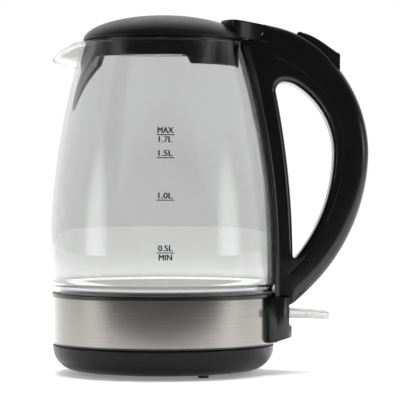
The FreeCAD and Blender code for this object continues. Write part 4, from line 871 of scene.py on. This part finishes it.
def side_glow(nodes, links, direction):
    """A soft glow of the surround on the left and on the right, in front of the kettle."""
    aside = nodes.new("ShaderNodeVectorMath")
    aside.operation = "ABSOLUTE"
    links.new(direction, aside.inputs[0])
    across = nodes.new("ShaderNodeSeparateXYZ")
    links.new(aside.outputs["Vector"], across.inputs["Vector"])
    along = nodes.new("ShaderNodeSeparateXYZ")
    links.new(direction, along.inputs["Vector"])
    facing = nodes.new("ShaderNodeCombineXYZ")
    links.new(across.outputs["X"], facing.inputs["X"])
    links.new(along.outputs["Y"], facing.inputs["Y"])
    towards = nodes.new("ShaderNodeVectorMath")
    towards.operation = "DOT_PRODUCT"
    towards.inputs[1].default_value = GLOW_TOWARDS
    links.new(facing.outputs["Vector"], towards.inputs[0])
    glow = nodes.new("ShaderNodeMapRange")
    glow.interpolation_type = "SMOOTHSTEP"
    glow.inputs["From Min"].default_value = GLOW_EDGE
    glow.inputs["To Max"].default_value = GLOW
    links.new(towards.outputs["Value"], glow.inputs["Value"])
    side = nodes.new("ShaderNodeBackground")
    links.new(glow.outputs["Result"], side.inputs["Strength"])
    return side.outputs["Background"]


def surround():
    """A surround that is white behind the kettle and dark in front of it, with a glow on each side."""
    world = bpy.data.worlds.new("studio")
    world.use_nodes = True
    nodes, links = world.node_tree.nodes, world.node_tree.links
    nodes.clear()
    direction = nodes.new("ShaderNodeTexCoord").outputs["Generated"]
    split = nodes.new("ShaderNodeSeparateXYZ")
    links.new(direction, split.inputs["Vector"])
    spread = nodes.new("ShaderNodeMapRange")
    spread.inputs["From Min"].default_value = -1.0
    links.new(split.outputs["Y"], spread.inputs["Value"])
    ramp = nodes.new("ShaderNodeValToRGB")
    dark, white = ramp.color_ramp.elements
    dark.position, dark.color = 0.45, (0.10, 0.10, 0.10, 1)
    white.position, white.color = 0.86, (1.0, 1.0, 1.0, 1)
    links.new(spread.outputs["Result"], ramp.inputs["Fac"])
    back = nodes.new("ShaderNodeBackground")
    links.new(ramp.outputs["Color"], back.inputs["Color"])
    both = nodes.new("ShaderNodeAddShader")
    links.new(back.outputs["Background"], both.inputs[0])
    links.new(side_glow(nodes, links, direction), both.inputs[1])
    out = nodes.new("ShaderNodeOutputWorld")
    links.new(both.outputs["Shader"], out.inputs["Surface"])
    bpy.context.scene.world = world


def studio_lights():
    """Three soft lights: left, right and above."""
    target = (0.01, 0, 0.12)
    soft_light("left_box", (-1.55, -0.5, 0.45), target, 0.8, 1.8, 15)
    soft_light("right_box", (1.6, -0.55, 0.45), target, 0.7, 1.8, 15)
    soft_light("top_box", (0.1, 0.1, 1.7), target, 1.6, 1.2, 36)


def camera():
    """The camera, level with the middle of the jug, 1.35 m in front of it."""
    data = bpy.data.cameras.new("camera")
    data.sensor_width = 36.0
    data.lens = 178.7
    data.shift_y = -0.0175
    eye = bpy.data.objects.new("camera", data)
    eye.location = EYE
    eye.rotation_euler = (math.radians(90), 0, 0)
    bpy.context.scene.collection.objects.link(eye)
    bpy.context.scene.camera = eye


bpy.context.scene.view_settings.view_transform = "Standard"
dress_cad_nodes()
glass_jug()
level_marks()
neck_collar()
filter_wires()
round_cad_edges("switch_housing", 2.2)
round_cad_edges("lid_arm", 1.3)
handle_inner()
handle_outer()
clear_lever()
pale_floor()
surround()
studio_lights()
camera()
